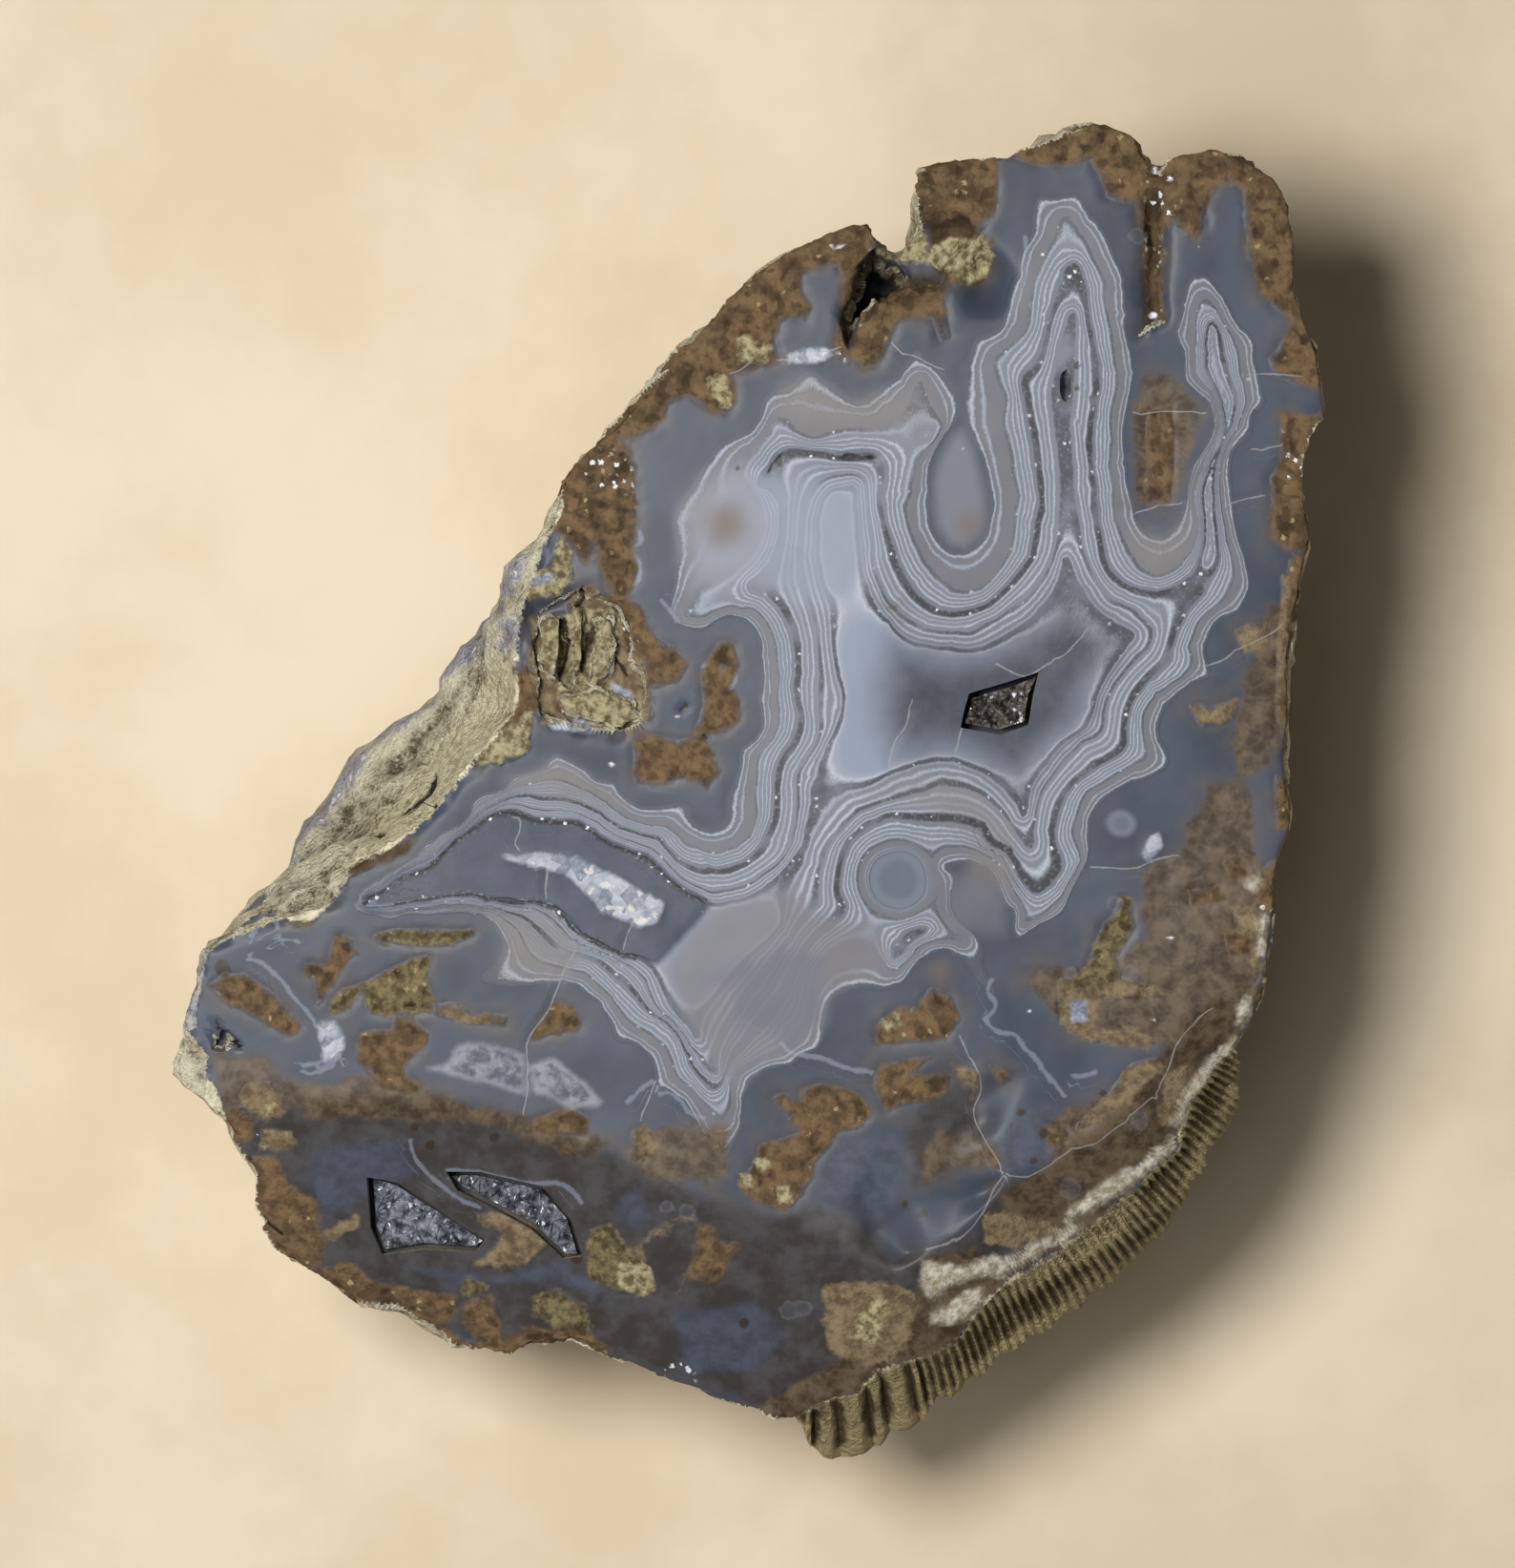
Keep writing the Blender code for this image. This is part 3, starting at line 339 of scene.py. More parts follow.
# Matter grown into the stone and the other marks of the face, as outlines. Each kind has the colours
# it runs between, the size of its grain, how ragged and how soft its edge is, and how deep it sinks.
patches = {
    "lens": {
        "dark": (63, 70, 85), "light": (73, 80, 95), "grain": 6.0, "ragged": 0.05, "soft": 0.3,
        "sink": 0.0, "rough": 0.0,
        "outlines": [
            [(-26.7, -7.55), (-24.7, -5.8), (-21.9, -4.5), (-20.8, -3.4), (-19.4, -2.2), (-18.2, -1.2),
             (-17.2, -0.8), (-16.0, -0.7), (-14.6, -1.3), (-13.0, -1.3), (-11.5, -1.5), (-10.1, -2.5),
             (-8.5, -3.2), (-6.7, -3.9), (-6.0, -4.5), (-4.8, -5.7), (-3.2, -6.8), (-2.3, -7.35),
             (-3.4, -8.8), (-4.9, -10.4), (-6.1, -11.8), (-7.2, -11.3), (-8.8, -10.8), (-10.8, -9.9),
             (-11.7, -9.3), (-12.4, -8.5), (-13.1, -7.9), (-14.7, -7.3), (-16.7, -7.3), (-18.6, -6.9),
             (-20.5, -6.9), (-22.6, -7.2), (-24.7, -7.5)],
        ],
    },
    "vugZone": {
        "dark": (58, 62, 72), "light": (72, 77, 89), "grain": 4.0, "ragged": 0.3, "soft": 2.4,
        "sink": 0.0, "rough": 0.0,
        "outlines": [
            [(10.6, 10.6), (12.4, 10.2), (14.7, 9.9), (16.6, 10.1), (18.8, 11.2), (20.7, 12.6),
             (22.0, 14.2),
             (22.9, 14.6), (23.7, 13.4), (25.1, 12.0), (26.2, 11.2), (25.6, 9.8), (24.2, 7.8), (23.7, 6.2),
             (23.0, 5.0), (21.6, 3.8), (20.2, 2.4), (19.4, 1.0), (18.4, 1.6), (17.0, 2.6), (15.1, 3.4),
             (13.1, 3.4), (11.0, 3.2), (9.9, 5.0), (9.9, 8.0)],
        ],
    },
    # Smoky matter, and painted shade: the first outline covers the lower bevel, painted darker because it
    # slopes away from the light.
    "smokeAndFacetShade": {
        "dark": (56, 52, 48), "light": (79, 76, 77), "grain": 3.2, "ragged": 0.9, "soft": 0.5,
        "sink": 0.0, "rough": 0.0,
        "outlines": [
            [(-36.6, -21.9), (-31.5, -21.6), (-24.7, -21.3), (-20.0, -21.6), (-15.4, -22.8),
             (-11.0, -24.1),
             (-7.6, -25.6), (-3.0, -28.0), (-0.6, -28.8), (2.4, -29.2), (5.0, -28.6), (8.0, -30.0),
             (10.4, -32.4), (13.0, -31.6), (16.2, -30.4), (17.4, -27.6), (19.0, -26.6), (22.2, -26.4),
             (22.0, -29.4), (18.0, -31.6), (14.0, -34.0), (11.0, -35.0), (6.0, -40.0), (3.0, -43.4),
             (-5.0, -41.0), (-12.0, -38.2), (-18.0, -38.6), (-27.8, -35.4), (-34.0, -31.0)],
            [(12.8, -20.6), (16.0, -20.0), (17.0, -24.0), (15.6, -26.0), (12.0, -27.0), (11.4, -23.0)],
            [(28.0, -10.8), (31.4, -11.4), (32.2, -13.4), (28.4, -13.6), (27.4, -12.4)],
        ],
    },
    "blue": {
        "dark": (67, 70, 81), "light": (81, 87, 103), "grain": 2.6, "ragged": 0.5, "soft": 0.5,
        "sink": 0.0, "rough": 0.0,
        "outlines": [
            [(-8.8, -28.0), (-7.2, -27.4), (-6.5, -29.4), (-8.0, -30.2), (-8.8, -29.4)],
            [(17.6, -22.2), (21.4, -21.4), (22.8, -23.6), (21.6, -25.0), (18.9, -26.1), (17.7, -24.4)],
            [(4.6, -24.4), (8.2, -23.8), (10.8, -23.4), (11.6, -26.0), (9.6, -29.4), (5.6, -28.6)],
            [(-5.0, -36.2), (0.6, -35.4), (3.0, -37.6), (0.6, -40.4), (-4.2, -40.6)],
            [(-30.0, -24.6), (-24.0, -24.0), (-23.0, -26.2), (-29.4, -29.4), (-31.0, -27.0)],
            [(-24.0, -33.0), (-17.0, -33.8), (-13.0, -32.4), (-9.0, -35.4), (-13.6, -34.0),
             (-20.0, -34.4)],
        ],
    },
    "umber": {
        "dark": (68, 54, 41), "light": (104, 88, 70), "grain": 2.0, "ragged": 1.0, "soft": 0.35,
        "sink": 0.02, "rough": 0.03,
        "outlines": [
            [(34.2, 1.2), (35.8, 1.8), (37.4, 4.0), (38.2, 8.0), (38.6, 12.0), (38.2, 14.2), (36.8, 13.6),
             (35.6, 11.0), (34.8, 8.0), (34.2, 5.0)],
            [(32.6, 0.6), (34.4, 1.6), (35.4, 0.0), (35.6, -2.6), (36.3, -5.4), (36.8, -8.0),
             (36.4, -11.0),
             (35.6, -14.0), (34.4, -16.4), (32.6, -17.4), (30.4, -20.6), (29.6, -24.0), (26.6, -26.6),
             (23.4, -28.8), (19.0, -31.2), (17.4, -30.6), (18.0, -28.0), (19.6, -26.7), (22.2, -25.2),
             (20.6, -23.2), (22.0, -22.0), (24.6, -21.2), (27.0, -19.0), (29.4, -17.4), (27.0, -17.2),
             (24.6, -16.6), (22.4, -15.6), (21.0, -14.0), (19.6, -12.4), (22.4, -11.4), (24.4, -11.6),
             (27.0, -10.6), (28.4, -9.6), (27.6, -7.6), (27.6, -5.4), (28.6, -4.4), (30.8, -3.8),
             (31.0, -2.0)],
            [(34.4, -16.4), (36.0, -17.4), (33.4, -18.2), (31.3, -21.0), (30.4, -24.6), (27.0, -27.7),
             (24.1, -30.0), (21.7, -32.0), (17.6, -34.4), (16.2, -36.3), (14.9, -38.3), (12.6, -39.3),
             (9.2, -40.5), (8.0, -42.2), (5.4, -43.0), (2.0, -45.0), (1.0, -43.0), (5.0, -40.4),
             (8.4, -38.6),
             (12.0, -36.8), (12.2, -34.4), (12.8, -32.2), (16.0, -31.4), (18.0, -32.8), (21.0, -31.0),
             (24.0, -28.4), (28.0, -25.2), (29.6, -23.4), (30.4, -20.0), (32.4, -17.6)],
            [(-2.6, -23.4), (-1.2, -22.6), (-1.0, -25.8), (-2.8, -27.0), (-5.4, -27.0), (-8.8, -24.8),
             (-6.2, -23.0)],
            [(12.0, -24.8), (13.6, -23.4), (16.0, -23.6), (18.0, -25.8), (14.4, -25.6), (12.8, -26.8)],
            [(27.2, 20.4), (29.8, 20.4), (30.6, 23.0), (31.8, 26.8), (31.2, 28.2), (29.4, 29.6),
             (27.6, 29.2),
             (26.9, 26.8), (27.2, 23.0)],
            [(-37.2, -17.6), (-33.4, -18.4), (-31.6, -20.4), (-30.0, -21.6), (-36.6, -21.6)],
            [(-31.6, -20.6), (-27.0, -19.4), (-22.0, -20.6), (-17.0, -21.8), (-12.6, -23.4), (-9.0, -24.0),
             (-12.0, -25.2), (-17.6, -22.8), (-24.0, -22.4), (-30.6, -22.4)],
        ],
    },
    "tan": {
        "dark": (96, 80, 60), "light": (142, 124, 94), "grain": 1.3, "ragged": 0.9, "soft": 0.25,
        "sink": 0.05, "rough": 0.05,
        "outlines": [
            [(-14.8, 12.6), (-12.4, 12.8), (-12.0, 14.4), (-10.8, 14.8), (-9.6, 13.6),
             (-8.2, 12.6), (-7.2, 10.4),
             (-6.6, 8.2), (-6.4, 5.8), (-8.4, 4.7), (-11.6, 5.2), (-14.0, 5.2), (-14.6, 7.0),
             (-15.2, 10.0)],
            [(-22.2, -14.6), (-20.3, -14.3), (-18.7, -15.2), (-16.7, -15.2), (-16.6, -15.8),
             (-19.6, -15.7),
             (-21.8, -15.0)],
            [(-32.2, -7.6), (-29.2, -7.6), (-30.4, -8.8), (-32.2, -8.6)],
            [(-35.4, -20.9), (-34.8, -20.1), (-33.2, -20.0), (-32.4, -22.0), (-33.2, -22.6),
             (-35.2, -21.8)],
            [(-33.6, -23.2), (-31.8, -23.4), (-31.9, -24.4), (-34.2, -25.0), (-34.6, -24.4)],
            [(-19.2, -29.2), (-17.0, -29.2), (-15.0, -30.2), (-13.8, -31.4), (-15.4, -33.0),
             (-19.2, -33.0),
             (-18.0, -32.0), (-17.0, -30.8)],
            [(-29.4, -30.6), (-27.3, -29.2), (-27.1, -30.2), (-28.8, -30.9)],
            [(-7.2, -32.6), (-7.2, -31.4), (-6.4, -30.8), (-4.2, -29.9), (-3.2, -29.8), (-3.6, -29.3),
             (-6.2, -30.0), (-7.6, -31.4)],
            [(-8.0, -23.4), (-6.8, -22.8), (-6.2, -24.6), (-7.4, -25.4)],
            [(14.6, -18.4), (16.4, -19.2), (16.0, -21.0), (15.0, -19.4)],
            [(22.0, -12.6), (24.6, -12.4), (27.0, -12.8), (30.4, -13.6), (26.0, -13.9), (24.2, -14.0),
             (24.4, -16.2), (27.6, -16.2), (28.6, -17.0), (24.0, -16.8), (22.2, -15.8)],
            [(6.4, -21.0), (8.2, -20.9), (8.6, -22.2), (7.8, -23.0), (6.6, -22.6)],
            [(5.5, -34.4), (9.0, -33.8), (12.0, -34.6), (12.0, -38.0), (9.6, -39.9), (6.6, -39.6),
             (5.6, -37.0)],
            [(16.8, -29.0), (20.2, -29.0), (22.2, -30.2), (19.4, -31.6), (17.0, -31.0)],
            [(29.4, -19.4), (31.0, -18.6), (31.2, -20.4), (30.4, -22.4), (29.8, -23.8), (28.9, -22.0)],
            [(34.2, 11.8), (36.4, 12.4), (36.6, 10.9), (34.8, 10.2)],
            [(31.0, 6.6), (32.6, 6.4), (34.2, 7.0), (34.0, 5.6), (32.0, 5.0)],
            [(34.2, -7.4), (35.8, -7.8), (36.6, -10.0), (35.8, -12.0), (34.4, -10.0)],
            [(27.0, -18.6), (28.6, -18.0), (29.4, -18.8), (27.4, -20.9), (25.0, -22.0), (23.0, -23.4),
             (24.6, -21.6)],
            [(37.2, 5.0), (38.0, 6.0), (38.0, 10.0), (38.6, 15.6), (37.6, 15.6), (37.3, 10.0)],
        ],
    },
    "olive": {
        "dark": (84, 73, 50), "light": (132, 118, 84), "grain": 1.1, "ragged": 0.7, "soft": 0.22,
        "sink": 0.14, "rough": 0.12,
        "outlines": [
            [(-25.9, -9.7), (-24.6, -9.2), (-21.6, -9.2), (-18.8, -9.1), (-18.9, -9.5), (-21.2, -10.3),
             (-23.0, -10.2), (-25.4, -10.0)],
            [(-26.6, -13.0), (-25.0, -12.0), (-23.1, -11.2), (-22.0, -10.9), (-22.4, -12.6),
             (-21.8, -14.0),
             (-22.0, -14.8), (-24.4, -15.1), (-26.4, -14.8)],
            [(-29.0, -14.8), (-28.0, -14.7), (-26.4, -12.9), (-28.0, -13.4), (-29.0, -14.2)],
            [(25.6, -8.4), (26.4, -6.8), (27.0, -7.0), (27.2, -9.0), (26.0, -11.0), (26.2, -12.4),
             (25.0, -13.4),
             (22.6, -13.2), (24.0, -11.6), (25.0, -8.8)],
            [(-20.2, -34.2), (-19.4, -33.6), (-18.0, -34.6), (-18.6, -35.3), (-19.8, -35.2)],
            [(-14.8, -35.0), (-13.2, -34.6), (-11.4, -35.8), (-10.8, -37.4), (-12.6, -38.2),
             (-14.8, -36.6)],
            [(-11.0, -30.4), (-9.6, -30.0), (-8.2, -31.4), (-7.0, -32.9), (-6.2, -34.8), (-9.0, -34.8),
             (-11.0, -33.6)],
        ],
    },
    "rust": {
        "dark": (86, 69, 49), "light": (124, 100, 71), "grain": 1.5, "ragged": 0.7, "soft": 0.3,
        "sink": 0.1, "rough": 0.08,
        "outlines": [
            [(-3.4, 4.6), (-2.7, 6.6), (-3.0, 9.0), (-2.4, 10.0), (-1.6, 11.0), (-0.7, 10.8), (-0.4, 9.4),
             (-1.0, 8.0), (-0.4, 6.8), (-0.4, 5.4), (-1.4, 4.8)],
            [(-7.6, 4.2), (-7.6, 1.2), (-6.0, 1.2), (-4.0, 1.7), (-2.6, 0.8), (-1.9, 2.0), (-2.2, 3.4),
             (-3.0, 4.4), (-4.6, 3.9), (-6.0, 4.4)],
            [(-9.8, 14.2), (-8.6, 14.4), (-7.4, 13.4), (-6.2, 11.2), (-4.8, 10.6), (-4.1, 9.4),
             (-4.8, 8.2),
             (-6.8, 7.6), (-6.9, 9.6), (-8.4, 10.6), (-8.8, 12.6)],
            [(-26.9, -16.6), (-26.0, -16.3), (-24.6, -16.2), (-24.4, -15.4), (-23.4, -15.3),
             (-22.2, -16.4),
             (-22.3, -17.1), (-23.6, -18.3), (-24.0, -19.0), (-22.8, -20.2), (-23.0, -20.7),
             (-24.6, -20.4),
             (-25.8, -19.9), (-27.0, -18.2), (-27.1, -17.4)],
            [(-28.6, -9.6), (-27.4, -9.9), (-27.3, -10.6), (-28.6, -12.2), (-29.8, -14.4), (-30.0, -12.6),
             (-30.7, -12.4), (-30.7, -11.6), (-29.1, -11.7), (-28.9, -10.6)],
            [(-37.4, -13.0), (-36.4, -12.2), (-35.0, -12.4), (-33.2, -13.6), (-31.6, -15.4),
             (-31.2, -16.0),
             (-31.9, -16.5), (-33.8, -15.6), (-36.4, -14.2)],
            [(-36.6, -22.0), (-35.6, -21.7), (-34.8, -22.4), (-34.6, -24.0), (-35.4, -24.3),
             (-36.4, -23.6)],
            [(-34.6, -25.2), (-32.8, -25.2), (-32.0, -27.2), (-30.2, -28.4), (-29.7, -31.8),
             (-30.0, -33.0),
             (-31.5, -33.4), (-33.4, -32.0), (-34.2, -30.0), (-34.9, -26.4)],
            [(-30.2, -33.2), (-28.0, -32.9), (-26.4, -34.0), (-24.0, -34.8), (-20.4, -35.2),
             (-20.4, -36.0),
             (-21.6, -37.8), (-24.4, -36.8), (-26.0, -35.6), (-28.8, -34.8), (-30.2, -34.0)],
            [(-19.8, -35.6), (-18.0, -35.2), (-17.2, -37.8), (-17.6, -39.0), (-18.8, -39.2),
             (-19.8, -36.8)],
            [(-15.8, -37.4), (-13.0, -38.0), (-11.4, -38.2), (-13.0, -38.9), (-15.4, -38.8)],
            [(-3.2, -30.2), (-2.2, -30.0), (-1.4, -31.4), (-0.2, -31.0), (-1.2, -32.4), (-1.4, -33.4),
             (-2.0, -34.0), (-3.8, -33.4), (-4.6, -34.8), (-3.8, -32.8), (-3.2, -31.0)],
            [(-14.8, -22.6), (-12.2, -21.5), (-11.0, -22.4), (-11.2, -23.5), (-13.0, -23.3),
             (-14.6, -23.2)],
            [(-14.7, -16.8), (-14.0, -15.6), (-13.4, -14.2), (-12.2, -14.6), (-11.6, -15.4),
             (-11.6, -16.0),
             (-13.6, -16.4)],
            [(2.0, -20.9), (2.6, -20.6), (4.0, -21.4), (4.0, -20.4), (5.4, -19.9), (8.2, -20.8),
             (8.8, -22.0),
             (8.2, -22.8), (6.4, -23.2), (6.0, -24.2), (4.8, -25.4), (4.6, -26.6), (3.4, -28.4),
             (2.4, -28.9),
             (0.6, -28.0), (-0.3, -27.0), (0.2, -26.0), (0.8, -25.4), (1.0, -24.2), (2.8, -23.8),
             (4.0, -23.4),
             (3.0, -22.0)],
            [(9.2, -19.4), (9.8, -18.6), (12.0, -18.2), (13.0, -18.2), (11.4, -19.3), (13.4, -19.4),
             (14.4, -19.2), (14.2, -20.4), (13.0, -20.9), (10.8, -21.4), (10.0, -21.8), (9.2, -20.0)],
            [(17.2, -18.6), (18.8, -19.4), (18.0, -19.9)],
            [(9.2, -16.0), (10.0, -15.2), (11.0, -14.6), (12.0, -14.8), (13.2, -13.2), (14.4, -13.8),
             (15.0, -15.4), (14.0, -16.8), (9.4, -17.0)],
            [(28.0, 20.8), (29.6, 20.8), (29.8, 24.0), (29.6, 27.4), (28.2, 27.0)],
            [(33.6, -4.2), (34.4, -4.0), (35.0, -5.2), (34.0, -5.6)],
            [(31.0, -6.4), (33.0, -6.2), (33.4, -7.0), (31.2, -7.4)],
            [(33.6, -9.4), (35.4, -9.2), (35.2, -10.9), (33.8, -10.8)],
            [(21.4, -22.8), (22.4, -23.0), (22.6, -24.4), (21.2, -24.0)],
            [(16.4, -23.4), (17.6, -24.6), (18.0, -25.8), (17.0, -25.0)],
            [(10.2, 13.2), (10.4, 13.3), (10.5, 13.1)],
        ],
    },
    "rim": {
        "dark": (80, 64, 44), "light": (122, 99, 70), "grain": 2.2, "ragged": 0.9, "soft": 0.4,
        "sink": 0.12, "rough": 0.16,
        "outlines": [
            [(-13.6, 19.4), (-11.0, 16.6), (-10.4, 18.2), (-9.4, 14.6), (-8.6, 13.4),
             (-7.9, 14.4), (-7.6, 16.4),
             (-7.9, 18.0), (-7.6, 20.4), (-7.8, 22.4), (-8.2, 24.0), (-8.6, 25.2), (-7.0, 25.6),
             (-5.9, 26.3),
             (-5.3, 27.6), (-4.0, 28.1), (-3.0, 27.6), (-2.2, 27.2), (-1.2, 27.1), (-0.7, 27.8),
             (-0.8, 29.0),
             (-1.2, 29.7), (0.2, 30.1), (1.5, 30.3), (2.4, 30.8), (2.2, 32.0), (2.4, 33.2), (3.0, 33.6),
             (4.3, 33.4), (4.6, 34.4), (4.0, 35.2), (3.8, 36.6), (5.2, 37.3), (6.6, 37.2), (7.0, 35.5),
             (6.8, 34.0), (6.5, 32.0), (6.6, 30.8), (7.2, 31.6), (7.6, 34.0), (9.4, 39.4), (8.0, 42.0),
             (-6.0, 36.0), (-15.0, 22.0)],
            [(7.2, 31.0), (8.2, 30.2), (9.2, 30.4), (10.0, 31.6), (10.6, 33.2), (11.6, 33.9), (13.2, 33.6),
             (13.6, 32.0), (14.2, 32.2), (14.0, 34.0), (13.8, 36.2), (10.6, 36.6), (8.2, 34.6)],
            [(13.4, 36.8), (14.6, 35.8), (16.2, 35.8), (17.2, 37.0), (17.1, 38.4), (16.4, 39.8),
             (17.4, 40.8),
             (17.6, 43.0), (17.3, 46.0), (10.0, 46.0), (10.0, 42.0), (13.2, 39.6)],
            [(18.6, 44.8), (20.0, 44.3), (22.6, 44.1), (24.0, 44.4), (24.9, 43.4), (25.2, 42.0),
             (26.4, 41.5),
             (27.6, 41.6), (27.9, 38.6), (28.0, 34.0), (28.1, 32.6), (28.6, 33.6), (29.3, 33.4),
             (29.0, 36.0),
             (29.0, 39.6), (30.0, 40.2), (31.4, 39.0), (32.1, 40.0), (32.4, 42.8), (33.8, 43.0),
             (34.7, 42.6),
             (34.9, 40.0), (35.1, 38.0), (35.8, 36.0), (37.0, 34.2), (38.6, 33.2), (37.4, 31.8),
             (36.5, 30.6),
             (37.0, 29.5), (38.5, 28.9), (39.6, 28.6), (44.0, 30.0), (40.0, 48.0), (20.0, 50.0)],
            [(37.4, 26.8), (38.6, 26.6), (41.0, 27.0), (40.0, 22.0), (40.0, 17.0), (38.0, 17.4),
             (36.8, 18.4),
             (36.9, 21.0), (36.6, 22.4), (37.5, 23.4)],
            [(38.1, 16.6), (39.4, 17.4), (39.0, 12.0), (38.4, 8.6), (38.4, 4.0), (37.7, 4.6), (37.8, 9.0),
             (38.2, 13.4)],
            [(37.2, 2.0), (39.0, 0.0), (39.0, -2.2), (37.4, -2.2), (37.0, 0.0)],
            [(36.3, -4.8), (38.0, -3.6), (37.6, -8.0), (37.0, -9.0), (36.5, -7.8), (35.6, -7.5),
             (36.2, -6.4)],
            [(36.2, -11.2), (37.4, -11.2), (37.0, -13.4), (35.6, -15.2), (35.2, -14.0), (36.0, -12.8)],
            [(-38.2, -21.4), (-36.6, -21.8), (-35.8, -24.6), (-34.8, -26.6), (-34.6, -29.6),
             (-33.2, -31.8),
             (-36.0, -33.0), (-42.0, -24.0)],
            [(-35.4, -25.0), (-34.4, -27.6), (-33.9, -30.6), (-31.0, -33.0), (-28.0, -34.6),
             (-24.6, -35.6),
             (-22.0, -37.2), (-19.8, -38.6), (-15.0, -38.0), (-12.0, -37.4), (-9.6, -38.8), (-12.0, -40.0),
             (-20.0, -42.0), (-40.0, -34.0)],
            [(-15.4, 9.4), (-14.6, 8.6), (-14.4, 6.4), (-15.6, 5.6), (-17.6, 4.2), (-19.0, 2.0),
             (-19.6, 2.6),
             (-17.0, 6.0), (-16.2, 8.6)],
            [(-26.0, -4.0), (-28.4, -4.6), (-28.6, -6.2), (-27.2, -5.2), (-25.4, -4.4), (-23.6, -3.6),
             (-23.2, -2.8)],
        ],
    },
    "slab": {
        "dark": (98, 85, 58), "light": (178, 167, 130), "grain": 0.9, "ragged": 0.6, "soft": 0.2,
        "sink": 0.03, "rough": 0.12,
        "outlines": [
            [(-8.8, -32.9), (-6.9, -32.9), (-6.2, -34.8), (-8.8, -34.6)],
            [(7.6, -37.8), (8.4, -35.6), (9.4, -34.9), (10.2, -35.4), (9.2, -38.0)],
            [(-33.5, -21.2), (-32.8, -21.3), (-32.8, -22.2), (-33.5, -22.2)],
            [(-2.6, 29.4), (-1.4, 29.6), (-0.9, 28.6), (-1.0, 27.4), (-1.8, 27.4), (-2.5, 28.6)],
            [(-0.6, 32.4), (0.2, 32.6), (0.8, 31.6), (2.0, 31.8), (1.6, 30.6), (-0.4, 30.4)],
            [(0.6, -25.2), (1.4, -25.1), (1.8, -25.8), (1.0, -26.0)],
            [(-0.2, -26.2), (0.5, -26.2), (0.4, -27.2), (-0.2, -27.0)],
            [(2.3, -27.2), (3.2, -27.0), (3.2, -28.2), (2.4, -28.2)],
            [(9.6, -15.4), (10.6, -15.0), (11.0, -15.8), (10.0, -16.2)],
            [(12.2, 38.0), (14.4, 39.4), (16.6, 39.2), (17.2, 37.8), (16.9, 36.6), (15.6, 35.9),
             (14.4, 36.6)],
            [(-15.3, 14.0), (-15.0, 15.6), (-13.6, 16.4), (-12.8, 18.6), (-12.2, 17.0), (-12.2, 15.2),
             (-12.9, 14.2)],
            [(-13.6, 12.6), (-12.4, 12.9), (-10.0, 13.6), (-8.6, 12.9), (-9.0, 9.4), (-10.0, 8.0),
             (-7.6, 7.0),
             (-7.0, 5.6), (-8.8, 4.9), (-12.6, 5.8), (-13.2, 7.4), (-12.4, 8.6), (-13.8, 8.4),
             (-14.4, 10.4)],
            [(-18.6, 4.4), (-16.0, 5.2), (-14.8, 6.6), (-15.0, 3.4), (-17.0, 2.3), (-19.2, 2.6)],
            [(11.0, 39.4), (12.6, 39.6), (12.6, 37.6), (11.4, 37.4), (9.0, 38.0)],
        ],
    },
    "cream": {
        "dark": (160, 146, 118), "light": (214, 208, 194), "grain": 1.1, "ragged": 0.6, "soft": 0.4,
        "sink": 0.0, "rough": 0.05,
        "outlines": [
            [(13.2, -36.9), (14.6, -37.0), (15.8, -36.4), (16.8, -35.2), (16.8, -34.4), (15.0, -34.8),
             (14.4, -35.8), (13.2, -36.2)],
            [(17.8, -33.6), (19.2, -32.8), (20.6, -32.2), (21.8, -31.4), (23.4, -30.4), (23.6, -29.8),
             (21.6, -30.6), (20.2, -31.3), (19.0, -31.9), (17.7, -32.5)],
            [(22.6, -29.8), (24.8, -28.5), (26.8, -27.3), (28.2, -26.4), (29.2, -25.4), (30.3, -24.5),
             (30.1, -23.8), (28.8, -24.5), (27.8, -25.5), (26.4, -26.3), (24.4, -27.5), (22.5, -29.0)],
            [(30.1, -22.8), (30.5, -21.2), (31.2, -20.0), (32.1, -18.7), (33.4, -17.5), (34.4, -16.9),
             (34.4, -17.5), (32.9, -19.1), (32.1, -20.2), (31.4, -21.2), (31.0, -22.8)],
            [(12.6, -32.4), (15.4, -32.7), (17.6, -32.0), (18.2, -32.5), (17.6, -33.2), (15.2, -33.8),
             (13.0, -35.0), (12.4, -34.0)],
            [(34.6, -14.6), (35.3, -13.9), (35.5, -15.0), (34.9, -15.9), (34.3, -15.8)],
            [(36.0, -8.2), (36.5, -8.2), (36.2, -11.0), (35.9, -10.6)],
            [(35.0, -6.0), (35.7, -5.4), (36.1, -6.0), (35.5, -6.5)],
        ],
    },
    "veil": {
        "dark": (74, 80, 93), "light": (140, 143, 152), "grain": 1.4, "ragged": 0.35, "soft": 0.3,
        "sink": 0.0, "rough": 0.02,
        "outlines": [
            [(-22.2, -18.9), (-21.0, -18.6), (-20.4, -17.9), (-20.0, -17.2), (-18.5, -17.0),
             (-16.2, -17.6),
             (-15.5, -18.0), (-15.2, -19.0), (-15.2, -20.6), (-16.4, -20.4), (-17.6, -20.0),
             (-19.4, -19.7),
             (-21.0, -19.2)],
            [(-15.0, -18.6), (-13.4, -18.2), (-11.4, -19.6), (-9.8, -21.4), (-12.0, -21.6),
             (-14.6, -20.6)],
        ],
    },
    "milk": {
        "dark": (104, 111, 128), "light": (186, 190, 200), "grain": 0.9, "ragged": 0.3, "soft": 0.2,
        "sink": -0.05, "rough": 0.03,
        "outlines": [
            [(-17.2, -4.0), (-13.9, -3.8), (-11.8, -4.0), (-9.3, -5.2), (-6.9, -6.6),
